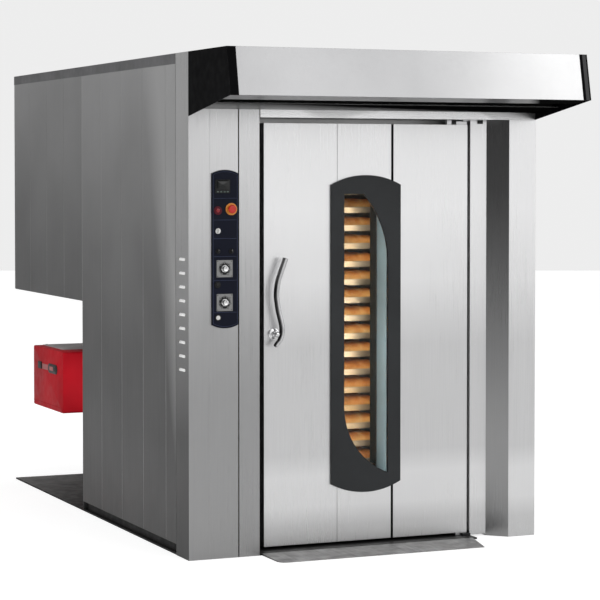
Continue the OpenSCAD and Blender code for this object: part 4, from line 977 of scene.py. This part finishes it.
def wing_switch(name, x, z, radius, body, node, base, wing):
    """Round foot with a rounded bar across it, as wide as the foot."""
    bm = bmesh.new()
    hub = at(x, PANEL_FACE, z)
    lathe(bm, hub, (0, -1, 0),
          [(SHAFT_BACK, 3.8), (0.2, 3.8), (0.3, radius - 0.2), (3.4, radius), (4.8, radius - 0.6),
           (5.6, radius - 2.2), (5.2, radius - 4)], 40)
    piece(name + "_foot", bm, base, body, node)
    bm = bmesh.new()
    loft(bm, [ring(hub + Vector((0, -along / 1000, 0)), Vector((0, 0, 1)), Vector((1, 0, 0)),
                   (radius - 1.2) / 1000 * swell, 0.0036 * swell, 28, 0.7)
              for along, swell in ((4.6, 1.0), (12.0, 0.94), (14.4, 0.88), (15.4, 0.68))])
    piece(name + "_wing", bm, wing, body)
    bm = bmesh.new()
    slab(bm, x - 0.6, x + 0.6, PANEL_FACE - 15.5, PANEL_FACE - 14.4, z + 2, z + radius * 0.62, 0.15)
    piece(name + "_mark", bm, moulded_black if wing is not moulded_black else moulded_white, body)


def push_button(name, place, material, body, node):
    bm = bmesh.new()
    lathe(bm, at(place[0], PANEL_FACE, place[1]), (0, -1, 0),
          [(SHAFT_BACK, 9.0), (3.0, 9.8), (6.2, 9.8), (7.2, 9.3), (7.7, 8.0), (7.9, 5.0), (7.95, 2.0)], 40)
    piece(name, bm, material, body, node)


def mushroom():
    """Emergency stop: a wide domed head, dished round its middle, over a short stem."""
    bm = bmesh.new()
    lathe(bm, at(MUSHROOM[0], PANEL_FACE, MUSHROOM[1]), (0, -1, 0),
          [(SHAFT_BACK, 8.9), (11.8, 8.9), (12.2, 17.0), (13.2, 18.8), (15.0, 18.9), (17.0, 18.0),
           (18.5, 15.6), (19.3, 12.4), (19.6, 9.0), (19.3, 5.0), (19.1, 2.0)], 56)
    piece("estop_mushroom", bm, moulded_red, "estop", "estop_button", smooth=50)


moulded_red = painted("moulded_red", (0.62, 0.022, 0.012), (0.4, 0.05, 0.05), 0.30, orange_peel=0.05)
lamp_red = painted("lamp_red", (0.28, 0.012, 0.020), (0.3, 0.05, 0.05), 0.22, orange_peel=0.0)
dress(painted("moulded_yellow", (0.75, 0.27, 0.03), (0.6, 0.4, 0.1), 0.4, orange_peel=0.05), "estop_collar")
wing_switch("mode_switch", 135, 1459, 12.8, "mode_knob", "mode_selector", spun_aluminium, moulded_white)
wing_switch("left_wing_switch", 135, 1369, 10.8, "left_switch", "left_knob", moulded_black, moulded_black)
wing_switch("right_wing_switch", 199, 1369, 10.8, "right_switch", "right_knob", moulded_black, moulded_black)
push_button("red_push_cap", RED_PUSH, lamp_red, "red_push", "red_button")
push_button("black_push_cap", BLACK_PUSH, moulded_black, "black_push", "black_button")
push_button("white_push_cap", WHITE_PUSH, moulded_white, "white_push", "white_button")
mushroom()

# ----------------------------------------
# Door. Stainless skins over an insulated core, with dark edges, a rubber gasket round the inner
# skin, a leaf-shaped double glazed window in a dark frame, and a lamp along its hinge side.

door_steel = brushed("door_steel", (0.69, 0.69, 0.695), 0.30, UPRIGHT, cloudiness=0.1, dust=0.1)
# Painted reflection of the room in bands on the door's skins.
banded(door_steel)
dress(door_steel, "door_outer_skins", "door_inner_skin")
# The core's edges are dark paint, but all its faces turned right, along the hinge side among them, are
# painted light grey so the hinge gap reads pale: painted light.
door_edge = painted("door_edge", (0.012, 0.012, 0.013), 0.10, 0.5, wear=0.3, specular=0.2)
filmed(door_edge, 0.8, (0, 0, 1), -1.0, -0.9, (1, 0, 0), 1.0)
dress(door_edge, "door_core")
dress(painted("frame_paint", (0.026, 0.028, 0.030), 0.10, 0.42, wear=0.2, specular=0.25),
      "window_frame")
dress(painted("liner_paint", (0.52, 0.66, 0.70), (0.4, 0.42, 0.41), 0.45, wear=0.2), "window_liner")
dress(painted("lamp_enamel", (0.040, 0.062, 0.066), 0.2, 0.5, specular=0.3), "lamp_housing")


def seal_rubber():
    """Black silicone with a matt bloom and flour in its folds."""
    mat, tree = new_material("seal_rubber")
    bloom = blotches(tree, 16.0, 5.0, 0.35, 0.7)
    return surfaced(mat, {
        "Base Color": blend_colour(tree, bloom, 0.018, (0.07, 0.068, 0.062)),
        "Roughness": remap(tree, bloom, 0, 1, 0.5, 0.75),
        "Normal": bump(tree, noise(tree, 300.0, 2.0), 0.2, 0.0008)})


def window_glass():
    """Clear toughened glass with a faint haze of baked-on grease, and only a light shadow."""
    mat, tree = new_material("window_glass")
    smear = blotches(tree, 5.0, 6.0, 0.45, 0.75, 0.01, 0.06, 0.6)
    tint = blend_colour(tree, remap(tree, smear, 0.01, 0.06), (0.98, 0.985, 0.98), (0.93, 0.93, 0.90))
    glass = add_node(tree, "BsdfPrincipled", {"Base Color": tint, "Roughness": smear,
                                              "Transmission Weight": 1.0, "IOR": 1.16})
    clear = add_node(tree, "BsdfTransparent", {"Color": (0.92, 0.93, 0.92)})
    show(tree, add_node(tree, "MixShader", {0: ray_kind(tree, "Is Shadow Ray"), 1: glass, 2: clear}))
    return mat


dress(seal_rubber(), "door_gasket")
dress(window_glass(), "window_glass")

# ----------------------------------------
# Handle. A drop-forged lever, swept in a long S from its short hooked end past the rose to a long
# finger grip, polished and chromed; the rose is turned and screwed on from behind.

HANDLE_AXIS = (438, 988)
LEVER_Y = 34
LEVER_R = 13
LEVER_ROUTE = [(-11, -56), (-3, -43), (10, -29), (19, -10), (23, 10), (23, 32), (19, 54), (13, 78), (6, 105),
               (0, 140), (-4, 175), (-2, 210), (5, 245), (17, 280), (30, 314), (38, 336), (41, 347)]


def chrome(name, colour, rough):
    """Bright plating with finger smudges that take its shine off in patches."""
    mat, tree = new_material(name)
    smudge = blotches(tree, 24.0, 6.0, 0.4, 0.7)
    return surfaced(mat, {
        "Base Color": blend_colour(tree, smudge, colour, shade(colour, 0.86)), "Metallic": 1.0,
        "Roughness": remap(tree, smudge, 0, 1, rough, rough + 0.12)})


def darkened_core(mat):
    """Painted reflection: the dark room that the lever mirrors along its outer side, between bright edges,
    fainter at its upper end.
    """
    tree = mat.node_tree
    core = remap(tree, turned(tree, (-0.82, -0.57, 0)), 0.50, 0.86)
    lower = remap(tree, height_on(tree), 1.20, 1.30, 1.0, 0.45)
    lay_over(mat, times(tree, core, lower), (0.035, 0.035, 0.036))
    return mat


def smooth_path(points, steps):
    """Catmull-Rom curve through points, with a number of steps between each pair."""
    padded = [points[0] * 2 - points[1], *points, points[-1] * 2 - points[-2]]
    curve = []
    for a, b, c, d in zip(padded, padded[1:], padded[2:], padded[3:]):
        for s in range(steps):
            t = s / steps
            curve.append(0.5 * (2 * b + (c - a) * t + (2 * a - 5 * b + 4 * c - d) * t * t
                                + (3 * b - a - 3 * c + d) * t ** 3))
    curve.append(points[-1])
    return curve


def lever():
    bm = bmesh.new()
    curve = smooth_path([at(HANDLE_AXIS[0] + dx, LEVER_Y, HANDLE_AXIS[1] + dz) for dx, dz in LEVER_ROUTE], 6)
    last = len(curve) - 1
    outwards = Vector((0, 1, 0))
    rings = []
    for i, point in enumerate(curve):
        ahead = (curve[min(i + 1, last)] - curve[max(i - 1, 0)]).normalized()
        ends = min(1.0, i / last / 0.03, (1 - i / last) / 0.02)
        girth = LEVER_R / 1000 * (0.80 + 0.20 * min(1.0, i / last / 0.25))
        girth *= math.sqrt(max(0.06, ends * (2 - ends)))
        rings.append(ring(point, outwards.cross(ahead).normalized(), outwards, girth, girth * 0.94, 24))
    loft(bm, rings)
    plating = darkened_core(chrome("lever_chrome", (0.72, 0.72, 0.73), 0.14))
    piece("lever", bm, plating, "handle", "handle_lever")


def rose():
    bm = bmesh.new()
    lathe(bm, at(HANDLE_AXIS[0], 79.4, HANDLE_AXIS[1]), (0, -1, 0),
          [(0, 26.6), (6, 26.6), (8.4, 25.8), (9.8, 23.5), (10.2, 20.0), (10.4, 15.0), (11.4, 13.4),
           (13, 12.6), (30, 11.6), (40, 12.2), (46, 12.6), (50, 11.6), (52.6, 9.0), (53.8, 5.0)], 48)
    piece("rose", bm, chrome("bright_chrome", (0.80, 0.80, 0.81), 0.08), "handle")


lever()
rose()

# ----------------------------------------
# Chamber lamp. Halogen tubes behind a long frosted lens that bulges from the housing's inner face
# and throws a warm light over the rack, so the bake can be watched through the window.


def lamp_lens():
    low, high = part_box("lamp_housing")
    middle = low.x + (high.x - low.x) / 4
    bm = bmesh.new()
    rings = []
    for z, swell in ((low.z + 0.030, 0.72), (low.z + 0.034, 0.95), (low.z + 0.040, 1.0),
                     (high.z - 0.040, 1.0), (high.z - 0.034, 0.95), (high.z - 0.030, 0.72)):
        bulge = [(math.cos(math.pi * k / 12) * swell, math.sin(math.pi * k / 12) * swell) for k in range(13)]
        rings.append([Vector((middle - c * 0.013, high.y + s * 0.009, z)) for c, s in bulge])
    loft(bm, rings)
    piece("lamp_lens", bm, frosted_lens(), "door", smooth=60)


def frosted_lens():
    """Frosted glass lit from behind, with moulded ribs across it."""
    mat, tree = new_material("frosted_lens")
    ribs = add_node(tree, "TexWave", {"Scale": 60.0, "Vector": place_on(tree)}, "Fac", wave_type="BANDS",
                    bands_direction="Z")
    return surfaced(mat, {
        "Base Color": blend_colour(tree, ribs, (0.80, 0.78, 0.70), (0.90, 0.88, 0.80)), "Roughness": 0.5,
        "Emission Color": (1.0, 0.82, 0.58), "Emission Strength": 9.0,
        "Normal": bump(tree, ribs, 0.3, 0.001)})


lamp_lens()

# ----------------------------------------
# Rack. A welded tube rack with eighteen levels, hung from the spindle and clear of the floor, with
# its pressed aluminium trays and its castors, all tanned by the heat.

dress(heat_steel("rack_steel", (0.50, 0.47, 0.42), (0.30, 0.20, 0.11), 0.36), "rack_frame", "rack_hanger")
dress(heat_steel("tray_alloy", (0.68, 0.62, 0.54), (0.46, 0.34, 0.20), 0.40), "trays")
dress(painted("wheel_black", 0.02, 0.08, 0.5), "front_wheels", "rear_wheels")

# ----------------------------------------
# Loaves. Six long loaves on every tray, baked side by side: golden crusts with a row of slashes,
# paler where they touch, a little flour on top, no two quite alike.

LEVELS = 18
LEVEL_PITCH = 0.086
LOAVES = 6
BAKE_STOPS = ((0.0, (0.86, 0.66, 0.36)), (0.30, (0.82, 0.44, 0.14)), (0.58, (0.68, 0.25, 0.05)),
              (0.82, (0.44, 0.13, 0.024)), (1.0, (0.24, 0.065, 0.015)))


def crust():
    """Baked crust: dark on the crown, golden down the flanks, pale at the foot and in the cuts."""
    mat, tree = new_material("crust")
    bake = add_node(tree, "Attribute", out="Fac", attribute_name="bake")
    blotch = blotches(tree, 28.0, 6.0, 0.3, 0.7, -0.16, 0.16, 0.6)
    ramp = tree.nodes.new("ShaderNodeValToRGB")
    stops = ramp.color_ramp.elements
    for position, colour in BAKE_STOPS:
        stop = stops.new(position) if 0 < position < 1 else stops[0 if position == 0 else -1]
        stop.color = (*colour, 1)
    put(tree, math_node(tree, "ADD", bake, blotch), ramp.inputs["Fac"])
    flour = blotches(tree, 90.0, 6.0, 0.60, 0.74, 0.0, 0.55, 0.7)
    return surfaced(mat, {
        "Base Color": blend_colour(tree, flour, ramp.outputs["Color"], (0.85, 0.78, 0.62)),
        "Roughness": remap(tree, blotch, -0.16, 0.16, 0.45, 0.7), "Specular IOR Level": 0.3,
        "Normal": bump(tree, noise(tree, 160.0, 6.0, 0.7), 0.5, 0.003)})


def one_loaf(bm, bake, rng, x0, x1, y, half, z, height):
    """A long loaf along X: rounded ends, a flat foot, bulging flanks and slanting slashes."""
    steps, sides = 26, 14
    lean = rng.uniform(-0.002, 0.002)
    plump = rng.uniform(0.94, 1.0)
    tone = rng.uniform(-0.06, 0.10)
    rows = []
    for i in range(steps + 1):
        share = i / steps
        end = min(share, 1 - share) * 7
        taper = math.sqrt(min(1.0, end) * (2 - min(1.0, end))) * 0.98 + 0.02
        wave = 0.02 * math.sin(share * 19 + lean * 900)
        x = x0 + (x1 - x0) * share
        row = []
        for k in range(sides):
            a = math.pi * (k / (sides - 1))
            c, s = math.cos(a), math.sin(a)
            slash = math.exp(-((share * 6 + 0.22 * c) % 1 - 0.5) ** 2 / 0.012) * max(0.0, s) ** 3
            top = height * plump * taper ** 0.8 * (s ** 0.72) * (1 + wave) - slash * height * 0.07
            wide = half * taper * math.copysign(abs(c) ** 0.82, c)
            foot = 1.0 - 0.10 * max(0.0, 1 - s * 4)
            vert = bm.verts.new((x, y + wide * foot + lean * s, z + max(0.0, top)))
            vert[bake] = min(1.0, max(0.0, 0.10 + 0.62 * s + tone + 0.18 * (1 - taper) - 0.6 * slash))
            row.append(vert)
        rows.append(row)
    skin(bm, rows)
    bm.faces.new(rows[0])
    bm.faces.new(rows[-1])


def all_loaves():
    low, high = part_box("loaves")
    rng = random.Random(7)
    bm = bmesh.new()
    bake = bm.verts.layers.float.new("bake")
    loaf_h = high.z - low.z - LEVEL_PITCH * (LEVELS - 1)
    pitch_y = (high.y - low.y) / LOAVES
    for level in range(LEVELS):
        for k in range(LOAVES):
            one_loaf(bm, bake, rng, low.x + 0.004, high.x - 0.004, low.y + (k + 0.5) * pitch_y,
                     pitch_y * 0.497, low.z + level * LEVEL_PITCH, loaf_h * 0.985)
    piece("baked_loaves", bm, crust(), "rack", "loaves", smooth=70)


all_loaves()
